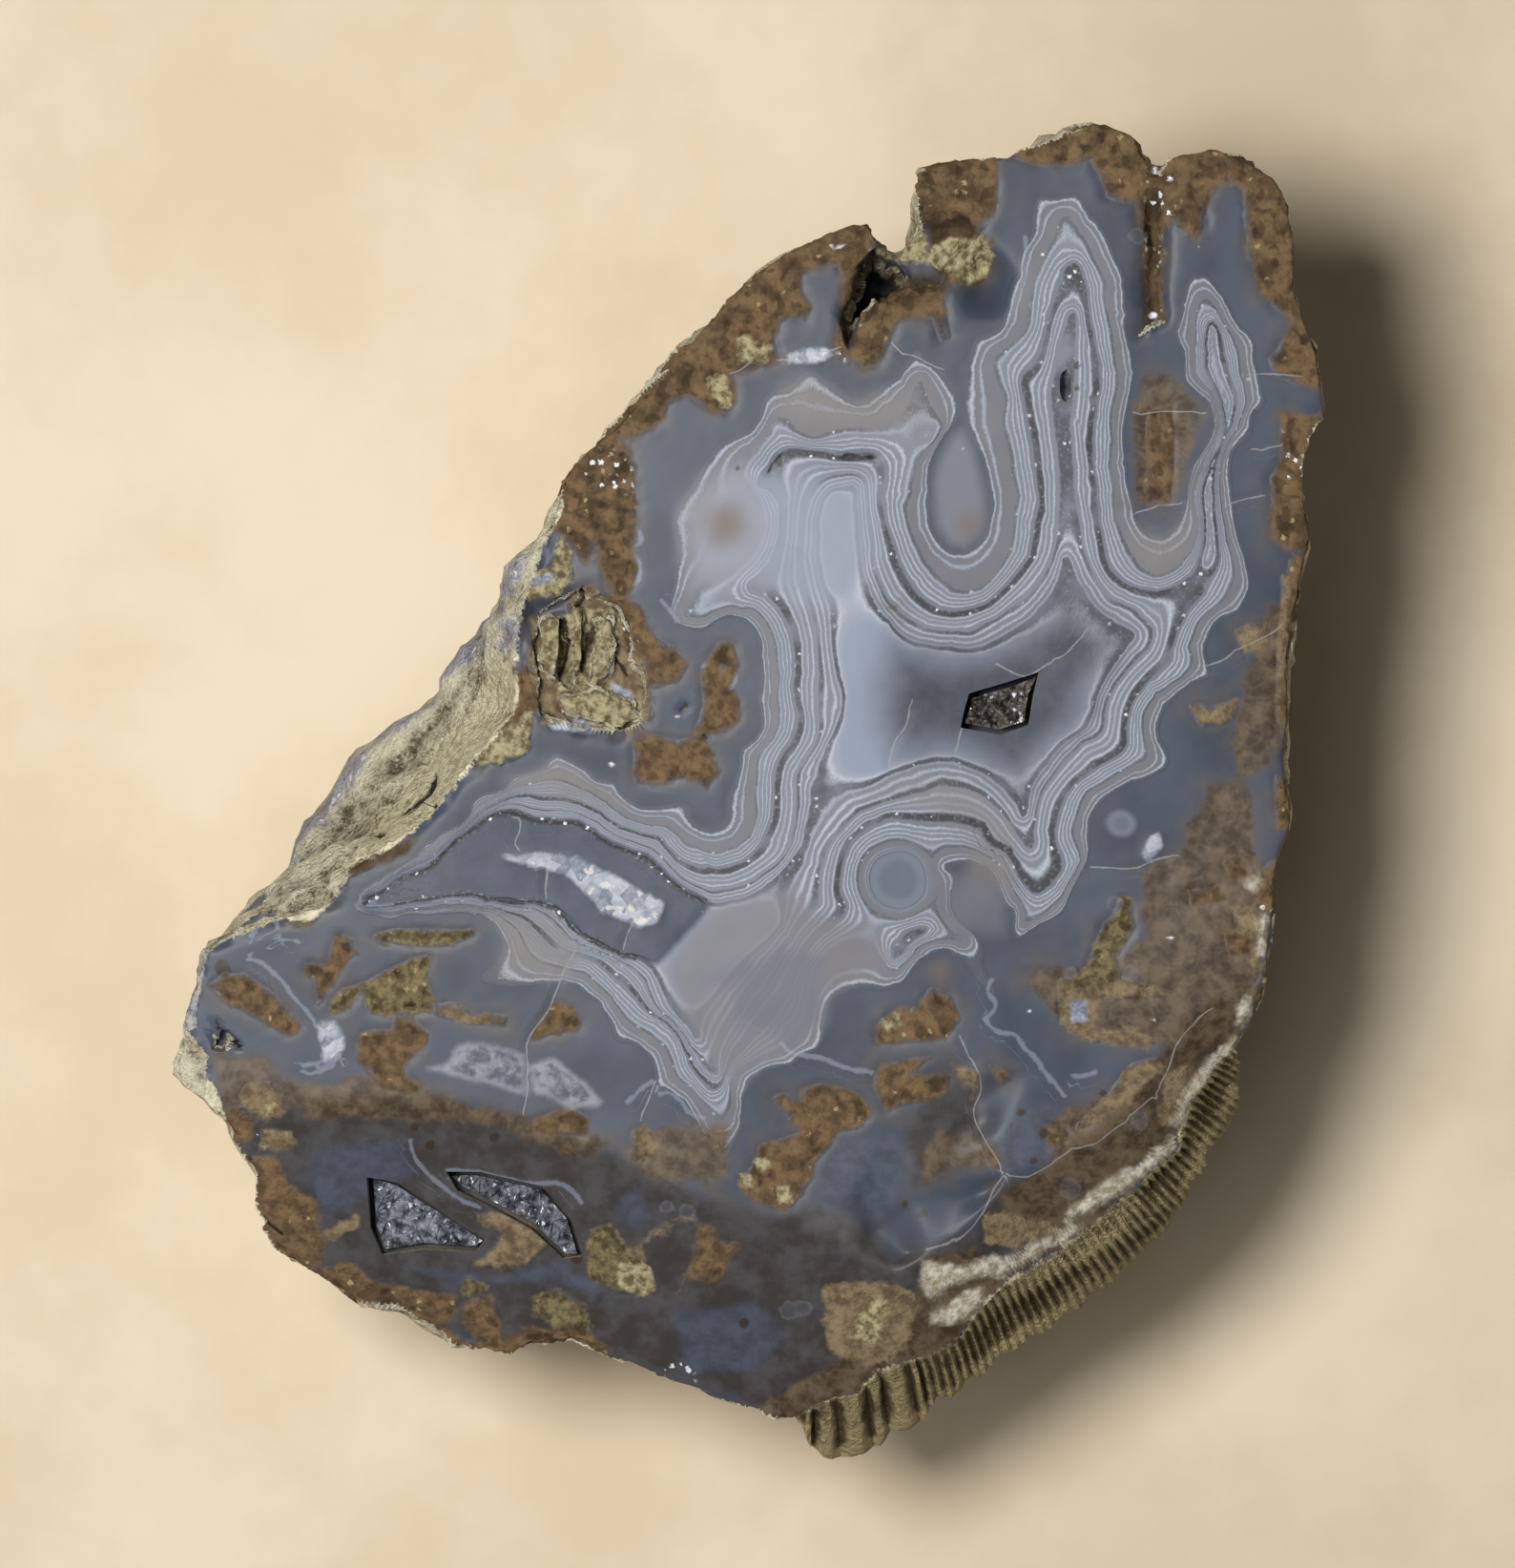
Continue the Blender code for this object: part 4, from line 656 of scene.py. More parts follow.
             (-5.6, -7.3), (-6.0, -8.5),
             (-7.4, -8.9), (-8.3, -8.5), (-10.0, -7.8), (-10.9, -6.6), (-12.5, -5.2), (-15.1, -4.7)],
            [(-30.0, -15.6), (-28.8, -15.4), (-28.0, -16.6), (-28.2, -18.2), (-29.4, -18.4)],
            [(-14.8, 15.4), (-13.4, 15.9), (-12.9, 15.7), (-13.6, 15.1), (-14.8, 14.8)],
            [(-13.4, 5.7), (-11.6, 5.6), (-10.2, 4.9), (-11.0, 4.7), (-12.6, 5.0), (-13.6, 4.9)],
            [(-9.4, 8.2), (-8.6, 7.9), (-7.6, 7.2), (-9.0, 7.3)],
            [(27.6, -3.9), (28.4, -2.6), (29.0, -2.4), (29.2, -3.2), (28.4, -4.2)],
            [(22.8, -14.0), (23.9, -14.0), (23.9, -15.7), (22.8, -15.6)],
            [(3.0, 31.0), (4.4, 31.4), (5.6, 31.4), (6.6, 31.2), (5.2, 30.4), (3.0, 30.4)],
        ],
    },
}

# Matter rougher than this has a crumbly, dull surface.
roughFrom = 0.04

# Grain sizes in millimetres of the noise that mottles the matter and makes its edges ragged.
mottleSizes = (0.6, 1.0, 1.4, 2.2, 4.0)

# Soft tints over the bands: colour, strength and the outlines they fill.
tints = {
    "warm": {
        "colour": (132, 125, 120), "strength": 0.6, "soft": 1.2,
        "outlines": [
            [(-17.9, -7.9), (-13.8, -7.7), (-12.0, -9.6), (-11.6, -11.0), (-12.5, -12.6), (-15.0, -12.2),
             (-17.2, -12.3), (-16.9, -9.6)],
            [(-4.6, 17.0), (-4.4, 20.5), (-2.6, 22.6), (0.2, 22.0), (1.2, 19.0), (0.4, 16.6),
             (-2.0, 15.4)],
            [(2.4, 28.8), (4.6, 29.6), (7.0, 27.8), (12.0, 28.6), (13.4, 27.0), (12.2, 25.8), (4.0, 26.0),
             (2.6, 27.2)],
            [(-16.6, 1.2), (-13.2, 2.7), (-10.4, 1.2), (-8.2, -0.4), (-13.0, 0.2)],
            [(8.6, 0.4), (12.0, 1.6), (16.0, 0.8), (19.0, -2.0), (19.0, -6.0), (14.0, -9.0), (16.0, -3.0),
             (12.0, 0.0)],
            [(27.4, 19.0), (29.4, 18.4), (31.2, 20.0), (31.0, 17.0), (28.6, 15.8), (27.0, 17.2)],
        ],
    },
    "haze": {
        "colour": (119, 116, 119), "strength": 0.8, "soft": 0.9,
        "outlines": [
            [(-5.5, -12.0), (-4.0, -9.6), (-2.4, -7.6), (0.5, -6.6), (3.4, -6.2), (4.9, -7.9), (7.3, -8.5),
             (9.6, -9.4), (10.4, -11.4), (7.3, -12.6), (5.8, -13.8), (5.5, -15.8), (3.4, -17.4),
             (0.8, -18.6),
             (-0.4, -20.2), (-1.6, -19.6), (-3.2, -16.6), (-4.9, -14.2)],
        ],
    },
    "dusk": {
        "colour": (104, 107, 117), "strength": 0.7, "soft": 0.9,
        "outlines": [
            [(0.0, -11.2), (1.0, -11.4), (2.4, -10.7), (4.0, -10.7), (5.4, -11.3), (5.3, -15.5),
             (3.4, -17.6),
             (1.7, -16.3), (0.8, -15.8), (-0.7, -15.7), (-0.5, -13.0), (-2.5, -12.8)],
            [(14.6, -5.6), (16.6, -5.4), (18.4, -7.2), (18.2, -9.4), (15.0, -9.4), (13.6, -7.6)],
            [(15.0, 20.4), (16.4, 20.2), (16.6, 18.4), (15.4, 17.8), (14.6, 19.0)],
        ],
    },
    "eye": {
        "colour": (117, 120, 131), "strength": 0.9, "soft": 0.7,
        "outlines": [
            [(14.5, 25.2), (13.7, 23.8), (13.2, 22.0), (13.2, 20.2), (13.7, 18.6), (14.4, 17.8),
             (15.2, 17.7),
             (16.0, 18.2), (16.6, 19.4), (16.8, 21.0), (16.5, 22.8), (15.9, 24.4), (15.2, 25.6)],
        ],
    },
    "quiet": {
        "colour": (146, 152, 166), "strength": 0.75, "soft": 1.6,
        "outlines": [
            [(-3.6, 15.0), (-3.8, 20.0), (-1.0, 23.0), (2.4, 22.6), (6.0, 22.0), (9.0, 22.0), (9.0, 17.0),
             (7.0, 13.6), (3.4, 14.0), (0.0, 15.4)],
        ],
    },
}

# Thin marks, each as lines: half width in millimetres and colour.
lineMarks = {
    # Thin pale lines along small steps in the face: partly the pale crack, partly a painted highlight on
    # the edge of its step.
    "crack": {
        "half": 0.05, "colour": (160, 158, 157), "lines": [
            [(10.0, 1.8), (10.2, 3.0), (10.6, 4.2), (11.2, 5.0), (11.6, 6.2), (11.8, 7.0)],
            [(15.2, 5.0), (14.9, 4.0), (14.5, 3.0)],
            [(24.0, 12.0), (23.2, 11.0), (22.3, 10.0), (21.5, 9.7), (20.5, 9.0), (19.4, 8.6), (17.5, 9.5)],
            [(27.0, 27.0), (28.1, 26.9), (29.5, 27.0), (32.2, 26.9)],
            [(27.3, 20.0), (28.6, 20.3), (30.5, 20.7)],
            [(33.3, 20.4), (34.8, 20.9), (36.3, 21.2)],
            [(34.8, 29.4), (36.2, 29.5), (39.0, 29.4)],
            [(35.2, 24.4), (37.6, 24.6)],
            [(32.0, 9.3), (33.4, 9.7), (34.4, 10.4), (36.4, 11.4), (37.6, 12.2)],
            [(24.0, -4.7), (27.0, -4.8), (28.4, -4.2), (30.4, -3.9)],
            [(-11.8, -10.6), (-12.6, -12.0), (-13.0, -13.0), (-13.8, -15.0), (-14.6, -16.0),
             (-15.3, -17.4),
             (-15.1, -18.6), (-15.1, -20.0), (-15.3, -21.2), (-15.6, -22.2)],
            [(-6.2, -19.6), (-6.6, -20.8), (-7.2, -22.0), (-7.3, -22.8)],
            [(-13.8, -3.9), (-13.75, -5.2), (-13.9, -6.4), (-14.0, -7.2)],
            [(-7.8, -8.6), (-8.2, -9.4), (-8.5, -10.4)],
            [(-16.2, -1.2), (-15.6, -1.4), (-15.6, -2.2), (-16.0, -3.0), (-15.7, -3.6)],
            [(18.2, -26.2), (19.6, -26.4), (20.6, -26.0), (22.6, -24.8), (24.0, -24.2), (25.4, -23.4),
             (27.2, -22.0), (28.4, -20.8), (29.6, -19.0), (30.2, -17.4), (31.6, -15.4), (32.8, -14.4)],
            [(15.0, -16.4), (16.0, -18.4), (16.5, -20.4), (16.1, -22.0), (17.0, -24.0), (18.1, -26.0),
             (17.4, -27.4), (16.6, -29.0), (15.4, -30.4), (14.4, -31.0), (12.6, -31.6)],
            [(10.2, 31.8), (11.0, 31.2), (11.8, 30.9), (13.0, 30.2), (14.0, 29.9)],
            [(2.2, 30.6), (3.4, 30.7), (4.4, 31.3), (5.6, 31.2), (6.8, 31.6)],
            [(0.8, 30.8), (-0.4, 29.9), (-1.2, 29.7)],
        ],
    },
    "wisp": {
        "half": 0.15, "colour": (148, 154, 170), "lines": [
            [(-34.9, -10.0), (-34.3, -9.0), (-33.8, -8.2), (-33.3, -7.5), (-32.8, -7.7), (-32.7, -8.5),
             (-32.6, -9.3), (-32.0, -9.9), (-31.3, -10.1)],
            [(-34.8, -10.8), (-34.0, -11.3), (-33.2, -12.0), (-32.4, -12.8), (-31.6, -13.9),
             (-30.9, -14.6),
             (-30.3, -15.5), (-30.0, -16.2)],
            [(-31.6, -18.6), (-30.0, -18.6), (-28.6, -18.3), (-29.4, -18.9), (-30.2, -19.4),
             (-31.2, -19.0)],
            [(2.5, -17.0), (3.3, -17.8), (4.0, -17.9), (5.5, -18.2), (6.5, -18.6), (8.0, -19.0),
             (9.2, -19.2)],
            [(-8.3, -21.3), (-7.4, -20.4), (-6.2, -19.6)],
            [(-6.1, -20.7), (-5.3, -20.6), (-4.4, -21.2), (-3.9, -22.0), (-2.7, -22.4)],
            [(16.6, -15.2), (17.6, -16.2), (19.0, -16.5), (19.6, -17.4), (20.4, -18.0), (20.9, -19.0),
             (21.6, -20.0), (22.4, -20.9)],
            [(22.8, -19.4), (23.8, -19.3), (24.6, -19.0)],
            [(-15.1, -18.9), (-13.9, -18.8), (-13.0, -19.4), (-12.5, -20.2), (-11.2, -20.5)],
            [(-23.4, -23.8), (-23.2, -25.0), (-22.4, -26.2), (-21.2, -27.3), (-20.0, -28.2),
             (-18.6, -28.8)],
            [(-21.0, -26.1), (-19.0, -26.2), (-17.0, -26.6), (-15.0, -27.0), (-13.0, -27.0),
             (-12.0, -27.6),
             (-11.4, -28.4)],
            [(17.4, -12.4), (17.0, -13.4), (17.6, -14.4), (16.8, -15.4)],
            [(-7.4, 19.0), (-7.2, 18.0), (-7.9, 17.4), (-7.4, 16.4), (-7.3, 15.6), (-7.8, 14.8)],
            [(-4.6, 12.2), (-5.4, 13.4), (-5.9, 14.0)],
            [(-3.0, 9.2), (-2.2, 9.9), (-1.2, 10.2), (-0.9, 9.6), (-0.6, 8.4), (-1.0, 7.7)],
            [(-6.9, 2.0), (-6.3, 1.4), (-4.6, 2.0), (-3.9, 2.2)],
            [(19.6, 38.2), (19.6, 39.4)],
        ],
    },
    "seam": {
        "half": 0.2, "colour": (72, 72, 75), "lines": [
            [(-26.7, -7.3), (-24.9, -6.3), (-24.0, -5.8), (-22.0, -4.75), (-20.9, -3.7), (-19.4, -2.5),
             (-18.2, -1.5), (-17.2, -1.05), (-16.0, -0.95), (-14.6, -1.55), (-13.0, -1.55), (-11.5, -1.8),
             (-10.1, -2.8), (-8.5, -3.5), (-6.9, -4.2), (-6.2, -4.8), (-5.0, -6.0), (-3.6, -6.9),
             (-2.5, -7.2)],
            [(-24.7, -7.3), (-22.6, -7.0), (-20.5, -6.7), (-18.6, -6.7), (-16.7, -7.1), (-14.8, -7.1),
             (-13.3, -7.7), (-12.6, -8.4), (-11.9, -9.1), (-10.9, -9.7), (-9.0, -10.6), (-7.5, -11.1)],
            [(16.7, -1.6), (17.0, -2.8), (18.5, -3.6), (19.0, -4.6), (19.5, -5.6), (20.3, -6.4)],
        ],
    },
    # Narrow slits sunk into the rind; their near-black colour is painted shade inside them.
    "slit": {
        "half": 0.11, "colour": (34, 27, 17), "lines": [
            [(-21.8, 2.3), (-22.4, 1.0), (-23.3, 0.0), (-24.3, -1.1)],
            [(-21.8, -0.5), (-22.7, -1.4)],
            [(-25.0, -2.0), (-26.0, -2.3)],
            [(-23.9, -14.5), (-23.0, -14.4)],
            [(-37.0, -15.6), (-36.6, -16.3), (-35.3, -17.4)],
            [(-34.4, -29.6), (-32.6, -30.8)],
            [(-12.5, 12.8), (-12.4, 11.0), (-12.7, 9.2), (-13.0, 8.6)],
            [(-10.7, 12.4), (-10.9, 11.0), (-11.1, 9.6), (-11.2, 8.8)],
            [(-9.2, 10.2), (-8.7, 9.4), (-8.2, 8.6)],
            [(-11.6, 14.6), (-11.3, 14.0), (-11.7, 13.4)],
            [(-4.0, 6.6), (-4.5, 6.2)],
            [(-3.0, 4.6), (-2.6, 4.3)],
            [(28.3, 40.0), (28.4, 38.6)],
            [(6.8, 24.0), (7.4, 24.1), (8.0, 23.85), (9.2, 23.8)],
            [(2.6, 24.0), (1.9, 23.4), (1.7, 22.8)],
        ],
    },
}

# Round spots: middle, radius and colour.
spots = {
    "darkSpot": {
        "colour": (58, 44, 30), "places": [
            (-23.0, -23.0, 0.35), (-22.1, -24.4, 0.35), (-17.4, -23.7, 0.35), (11.4, -28.3, 0.3),
            (12.4, -28.9, 0.3), (0.0, -37.0, 0.4), (-31.3, -6.8, 0.7), (-36.5, -11.8, 0.6),
            (-37.6, -20.9, 0.5), (-35.2, -25.5, 0.5), (-11.8, -32.4, 0.4), (19.3, -21.9, 0.3),
            (20.2, -25.2, 0.3), (21.0, -23.4, 0.4), (26.3, 17.9, 0.2), (23.2, 30.2, 0.25),
            (23.2, 28.6, 0.2), (38.6, 35.6, 0.5), (39.0, 31.9, 0.4), (-4.2, 6.5, 0.25),
            (18.7, -22.8, 0.2), (25.1, -20.5, 0.3), (24.2, -22.4, 0.2), (-0.4, 23.0, 0.2),
        ],
    },
    "glow": {
        "colour": (112, 97, 84), "places": [(-1.4, 19.2, 1.6), (15.7, 19.1, 0.9), (13.8, -12.0, 0.7)],
    },
    "orbRing": {
        "colour": (118, 124, 137), "places": [(10.7, -5.6, 2.3), (26.3, -1.7, 0.9)],
    },
    "orbCore": {
        "colour": (97, 103, 117), "places": [(10.7, -5.6, 1.3), (26.3, -1.7, 0.5)],
    },
    "disc": {
        "colour": (124, 129, 143), "places": [
            (2.9, 16.2, 1.7), (-0.4, -17.5, 2.1), (25.9, -7.3, 0.6), (22.8, -12.2, 0.5),
            (27.0, -12.2, 0.6),
            (3.2, -36.0, 0.7), (4.2, -35.8, 0.6), (27.7, -22.5, 0.7), (22.8, -27.3, 0.8),
            (-5.4, -28.6, 0.5),
            (-4.0, -29.0, 0.6), (27.4, 39.2, 0.6), (-1.5, 9.1, 0.35),
        ],
    },
    "glint": {
        "colour": (235, 236, 240), "places": [
            (7.6, 0.1, 0.12), (15.1, 2.3, 0.12), (10.7, -1.7, 0.12), (13.3, -4.7, 0.12), (5.2, -5.7, 0.12),
            (7.0, -7.7, 0.12), (10.9, -8.4, 0.12), (21.9, -3.6, 0.15), (18.7, -4.7, 0.15),
            (19.9, -6.8, 0.14),
            (22.4, -4.8, 0.12), (23.2, 1.0, 0.12), (-9.3, 2.4, 0.2), (-4.6, 5.8, 0.16), (28.5, 33.7, 0.25),
            (6.2, 38.6, 0.25), (6.8, 38.6, 0.25), (19.9, -14.8, 0.15), (28.5, -15.5, 0.14),
            (29.6, -9.7, 0.15),
            (29.9, -9.7, 0.15), (20.8, 37.9, 0.12), (22.2, 36.0, 0.12), (31.6, 38.3, 0.14),
            (15.2, 24.3, 0.1),
        ],
    },
}

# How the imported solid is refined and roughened, in millimetres, shares and rounds.
stone = {
    "weld": 0.00001,  # metres
    "faceCuts": 6,
    "sideCuts": 2,
    "ribCuts": 2,
    "faceSlope": 0.35,
    "faceLowest": 20.0,
    "ribsLowest": 15.0,
    "upperPart": 12,
    "smoothing": 8,
    "hollowReach": 1.6,
    "ribHold": 0.9,
    "ribCalm": 0.85,
    "stripCalm": 0.75,
    "sideRough": 0.65,
    "sidePits": 0.3,
    "sideFine": 0.12,
    "faceRough": 0.02,
    "lineWidth": 0.35,
    "slitDepth": 0.18,
    "sideSlitDepth": 0.5,
    "crackDepth": 0.03,
    "footHeight": 0.3,
    "bottomHeight": 1.2,
    "crestRounds": 8,
    "crestReach": 0.3,
}

# Where the sawn-looking face ends at the rough rind, on the left, and at the ribs, at the lower right.
rindArea = [
    (-12.7, 20.8), (-14.0, 17.0), (-15.2, 14.0), (-15.8, 9.4), (-15.8, 6.8), (-17.8, 4.1),
    (-20.5, 0.4), (-21.9, -1.4), (-25.1, -3.5), (-27.3, -4.4), (-28.6, -7.1), (-30.2, -8.5),
    (-32.1, -8.4), (-34.2, -6.8), (-36.0, -8.2), (-37.8, -10.6), (-38.2, -13.6), (-38.8, -16.4),
    (-38.0, -19.0),
    (-36.8, -20.8), (-36.4, -22.6), (-37.2, -24.2), (-50.0, -26.0), (-50.0, 24.0), (-16.0, 24.0),
]
ribArea = [
    (35.3, -17.3), (33.4, -18.0), (31.3, -21.0), (30.4, -24.6), (27.0, -27.7), (24.1, -30.0),
    (21.7, -32.0), (17.6, -34.4), (16.2, -36.3), (14.9, -38.3), (12.6, -39.3), (9.2, -40.3),
    (8.0, -42.0), (5.4, -42.7), (3.4, -44.2), (3.0, -50.0), (45.0, -50.0), (45.0, -17.3),
]
# The smooth strip of rind beside the face, and its blue outer fringe.
otherMarks = {
    "strip": {"outlines": [
        [(-16.4, 10.6), (-15.9, 8.0), (-16.0, 6.6), (-18.2, 3.8), (-20.8, 0.2), (-22.4, -1.8),
         (-25.4, -3.6),
         (-27.2, -4.2), (-26.4, -2.4), (-24.0, 0.2), (-21.6, 3.6), (-19.0, 6.6), (-17.6, 9.0)],
    ]},
    "fringe": {"outlines": [
        [(-17.8, 16.0), (-16.0, 17.4), (-16.4, 16.0), (-17.2, 14.0), (-18.0, 12.0), (-19.0, 11.0),
         (-20.6, 9.6),
         (-21.8, 8.6), (-24.0, 5.8), (-27.6, 4.0), (-27.4, 3.0), (-29.4, 0.4), (-29.6, -1.0),
         (-32.4, -4.4),
         (-32.0, -6.0), (-44.0, -4.0), (-26.0, 14.0)],
        [(-16.6, 13.8), (-15.4, 14.4), (-15.6, 10.8), (-16.4, 10.6)],
        [(-38.4, -10.6), (-37.6, -12.6), (-37.8, -15.8), (-40.0, -15.8), (-40.0, -10.6)],
    ]},
    "sparkle": {"outlines": [
        [(-10.8, 24.4), (-9.6, 24.6), (-8.2, 23.4), (-7.6, 22.4), (-7.8, 21.4), (-9.6, 21.6),
         (-11.2, 21.4),
         (-11.2, 22.2)],
        [(28.1, 44.0), (29.8, 44.0), (29.9, 40.4), (29.0, 40.0), (28.8, 36.2), (28.2, 36.4), (28.0, 38.0)],
        [(37.6, 24.0), (39.2, 25.0), (39.4, 23.0), (38.2, 21.8), (37.2, 22.4)],
        [(-14.0, 9.4), (-12.8, 9.4), (-13.2, 8.2), (-14.0, 8.2)],
        [(-10.6, 8.4), (-9.6, 9.6), (-9.4, 8.2), (-11.6, 7.0)],
        [(34.8, 29.7), (36.4, 29.8), (36.4, 29.3), (34.8, 29.2)],
        [(6.5, 31.1), (7.3, 31.1), (7.3, 30.6), (6.5, 30.6)],
        [(-5.8, -39.8), (-3.4, -40.0), (-3.6, -41.4), (-5.8, -41.2)],
        [(-34.9, -23.0), (-33.8, -23.0), (-33.8, -24.6), (-34.9, -24.6)],
        [(-9.0, 12.0), (-8.2, 12.2), (-8.4, 10.6), (-9.0, 10.6)],
        [(36.2, -6.6), (37.2, -6.8), (37.0, -7.8), (35.6, -7.6)],
        [(20.9, 35.0), (21.6, 34.4), (21.4, 32.0), (20.9, 33.0)],
    ]},
}

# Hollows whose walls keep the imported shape: low and high corner.
hollows = {
    "vug": ((15.3, 4.9), (20.4, 8.6)),
    "lowerDruse": ((-26.3, -31.9), (-18.5, -26.8)),
    "upperDruse": ((-20.8, -32.2), (-11.7, -26.5)),
    "speckHole": ((21.7, 27.6), (22.9, 30.0)),
    "smallPits": ((-38.2, -21.6), (-37.0, -20.2)),
}

# Colours of the rind. The dark and light pairs are mixed by a tone that holds painted shade in hollows and
# painted light on raised places; the light rib colour is a painted highlight on the rib crests, the pit
# colour painted shade in pits, and the glint colour painted glints.
rindLook = {
    "dark": (122, 111, 82), "light": (238, 229, 199),
    "brownDark": (82, 68, 44), "brownLight": (164, 142, 101),
    "stripDark": (176, 165, 131), "stripLight": (222, 212, 178),
    "fringeDark": (80, 84, 100), "fringeLight": (150, 152, 168),
    "ribDark": (84, 68, 41), "ribCrestHighlight": (178, 160, 118),
    "glint": (236, 234, 232), "pitShade": (70, 58, 38), "speck": (240, 236, 220),
    "crestShading": 0.45,
}

# Crystals of the three crusts: sizes in millimetres.
crusts = {
    "vug_crystals": {
        "piece": "vug_points", "slot": "dark_quartz", "cuts": 3, "size": 0.7, "depth": 0.5, "seed": 4,
        "dark": (36, 31, 28), "light": (128, 120, 112), "glints": 0.24,
    },
    "lower_druse_crystals": {
        "piece": "lower_druse_points", "slot": "grey_quartz", "cuts": 3, "size": 0.5, "depth": 0.45,
        "seed": 7, "dark": (62, 64, 72), "light": (142, 146, 156), "glints": 0.22,
    },
    "upper_druse_crystals": {
        "piece": "upper_druse_points", "slot": "grey_quartz", "cuts": 3, "size": 0.55, "depth": 0.45,
        "seed": 9, "dark": (54, 55, 61), "light": (130, 133, 142), "glints": 0.2,
    },
}


def tint(red, green, blue):
    # turns a colour as seen into the shader's linear values
    seen = (red, green, blue)
    linear = [((part / 255 + 0.055) / 1.055) ** 2.4 if part > 10 else part / 3294 for part in seen]
    return (*linear, 1.0)


def curveThrough(points, step):
    # a smooth curve through the points, sampled every step
    points = np.array(points, float)
    ends = np.vstack([2 * points[0] - points[1], points, 2 * points[-1] - points[-2]])
    found = []
    for i in range(len(points) - 1):
        before, start, end, after = ends[i:i + 4]
        pieces = max(1, math.ceil(np.hypot(*(end - start)) / step))
        share = (np.arange(pieces) / pieces)[:, None]
        pull, push = (end - before) / 2, (after - start) / 2
        bend = 2 * (start - end) + pull + push
        turn = 3 * (end - start) - 2 * pull - push
        found.append(start + share * (pull + share * (turn + share * bend)))
    return np.vstack(found + [points[-1:]])


def readGrid(grid, across, up):
    # value of a grid between its corners
    column = np.clip(across.astype(int), 0, grid.shape[1] - 2)
    row = np.clip(up.astype(int), 0, grid.shape[0] - 2)
    x, y = across - column, up - row
    low = grid[row, column] * (1 - x) + grid[row, column + 1] * x
    high = grid[row + 1, column] * (1 - x) + grid[row + 1, column + 1] * x
    return low * (1 - y) + high * y


def spreadToGrid(values, across, up, shape):
    # the reverse of readGrid: adds each value to the corners round its place
    column = np.clip(across.astype(int), 0, shape[1] - 2)
    row = np.clip(up.astype(int), 0, shape[0] - 2)
    x, y = across - column, up - row
    corner = row * shape[1] + column
    total = np.zeros(shape[0] * shape[1])
    shares = ((0, (1 - x) * (1 - y)), (1, x * (1 - y)), (shape[1], (1 - x) * y), (shape[1] + 1, x * y))
    for jump, share in shares:
        total += np.bincount(corner + jump, weights=share * values, minlength=len(total))
    return total.reshape(shape)


def curl(grid):
    padded = np.pad(grid, 1, mode="edge")
    around = padded[2:, 1:-1] + padded[:-2, 1:-1] + padded[1:-1, 2:] + padded[1:-1, :-2]
    return around - 4 * grid


def solveBands():
    # the smoothest sheet of levels that passes through every band line
    samples, levels = [], []
    for level, line in bandLines:
        curve = curveThrough(line, field["sampling"])
        samples.append(curve)
        levels.append(np.full(len(curve), level))
    for level, radius in orb["rings"]:
        turn = np.linspace(0, 2 * math.pi, 48, endpoint=False)
        ring = np.array(orb["middle"]) + radius * np.stack([np.cos(turn), np.sin(turn)], axis=1)
        samples.append(ring)
        levels.append(np.full(len(ring), level))
    samples, levels = np.vstack(samples), np.concatenate(levels)
    sheet, coarser = None, None
    for spacing, rounds in zip(field["spacings"], field["rounds"]):
        shape = (int(field["span"][1] / spacing) + 1, int(field["span"][0] / spacing) + 1)
        across = (samples[:, 0] - field["corner"][0]) / spacing
        up = (samples[:, 1] - field["corner"][1]) / spacing
        hold = field["hold"] * spacing / 0.5
        if sheet is None:
            sheet = np.full(shape, levels.mean())
        else:
            rows, columns = np.mgrid[0:shape[0], 0:shape[1]] * spacing / coarser
            sheet = readGrid(sheet, columns.ravel(), rows.ravel()).reshape(shape)

        def strain(grid):
            curled = curl(grid)
            held = spreadToGrid(readGrid(grid, across, up), across, up, shape)
            return field["bending"] * curl(curled) - field["tension"] * curled + hold * held

        left = hold * spreadToGrid(levels, across, up, shape) - strain(sheet)
        step = left.copy()
        size = (left * left).sum()
        for _ in range(rounds):
            pulled = strain(step)
            share = size / (step * pulled).sum()
            sheet += share * step
            left -= share * pulled
            smaller = (left * left).sum()
            step = left + smaller / size * step
            size = smaller
        coarser = spacing
    return sheet


def lineDistance(places, line):
    line = np.array(line, float)
    nearest = np.full(len(places), 99.0)
    for start, end in zip(line[:-1], line[1:]):
        along = end - start
        share = np.clip((places - start) @ along / max(along @ along, 1e-9), 0, 1)
        gap = places - start - share[:, None] * along
        nearest = np.minimum(nearest, np.hypot(gap[:, 0], gap[:, 1]))
    return nearest


def depthInside(places, outline):
    # distance from an outline, positive inside it
    outline = np.array(outline, float)
    closed = np.vstack([outline, outline[:1]])
    crossings = np.zeros(len(places), int)
    x, y = places[:, 0], places[:, 1]
    for (x0, y0), (x1, y1) in zip(closed[:-1], closed[1:]):
        spans = (y0 > y) != (y1 > y)
        if y0 != y1:
            crossings += spans & (x < x0 + (y - y0) * (x1 - x0) / (y1 - y0))
    gap = lineDistance(places, closed)
    return np.where(crossings % 2 == 1, gap, -gap)


def writeAttribute(piece, name, values):
    attribute = piece.data.attributes.new(name, "FLOAT", "POINT")
    attribute.data.foreach_set("value", np.asarray(values, np.float32))


def placesOf(piece):
    places = np.empty(len(piece.data.vertices) * 3, np.float32)
    piece.data.vertices.foreach_get("co", places)
    return places.reshape(-1, 3).astype(float) / mm


def movePlaces(piece, places):
    piece.data.vertices.foreach_set("co", (places * mm).astype(np.float32).ravel())
    piece.data.update()


def selectOnly(piece):
    bpy.ops.object.select_all(action="DESELECT")
    piece.select_set(True)
    bpy.context.view_layer.objects.active = piece


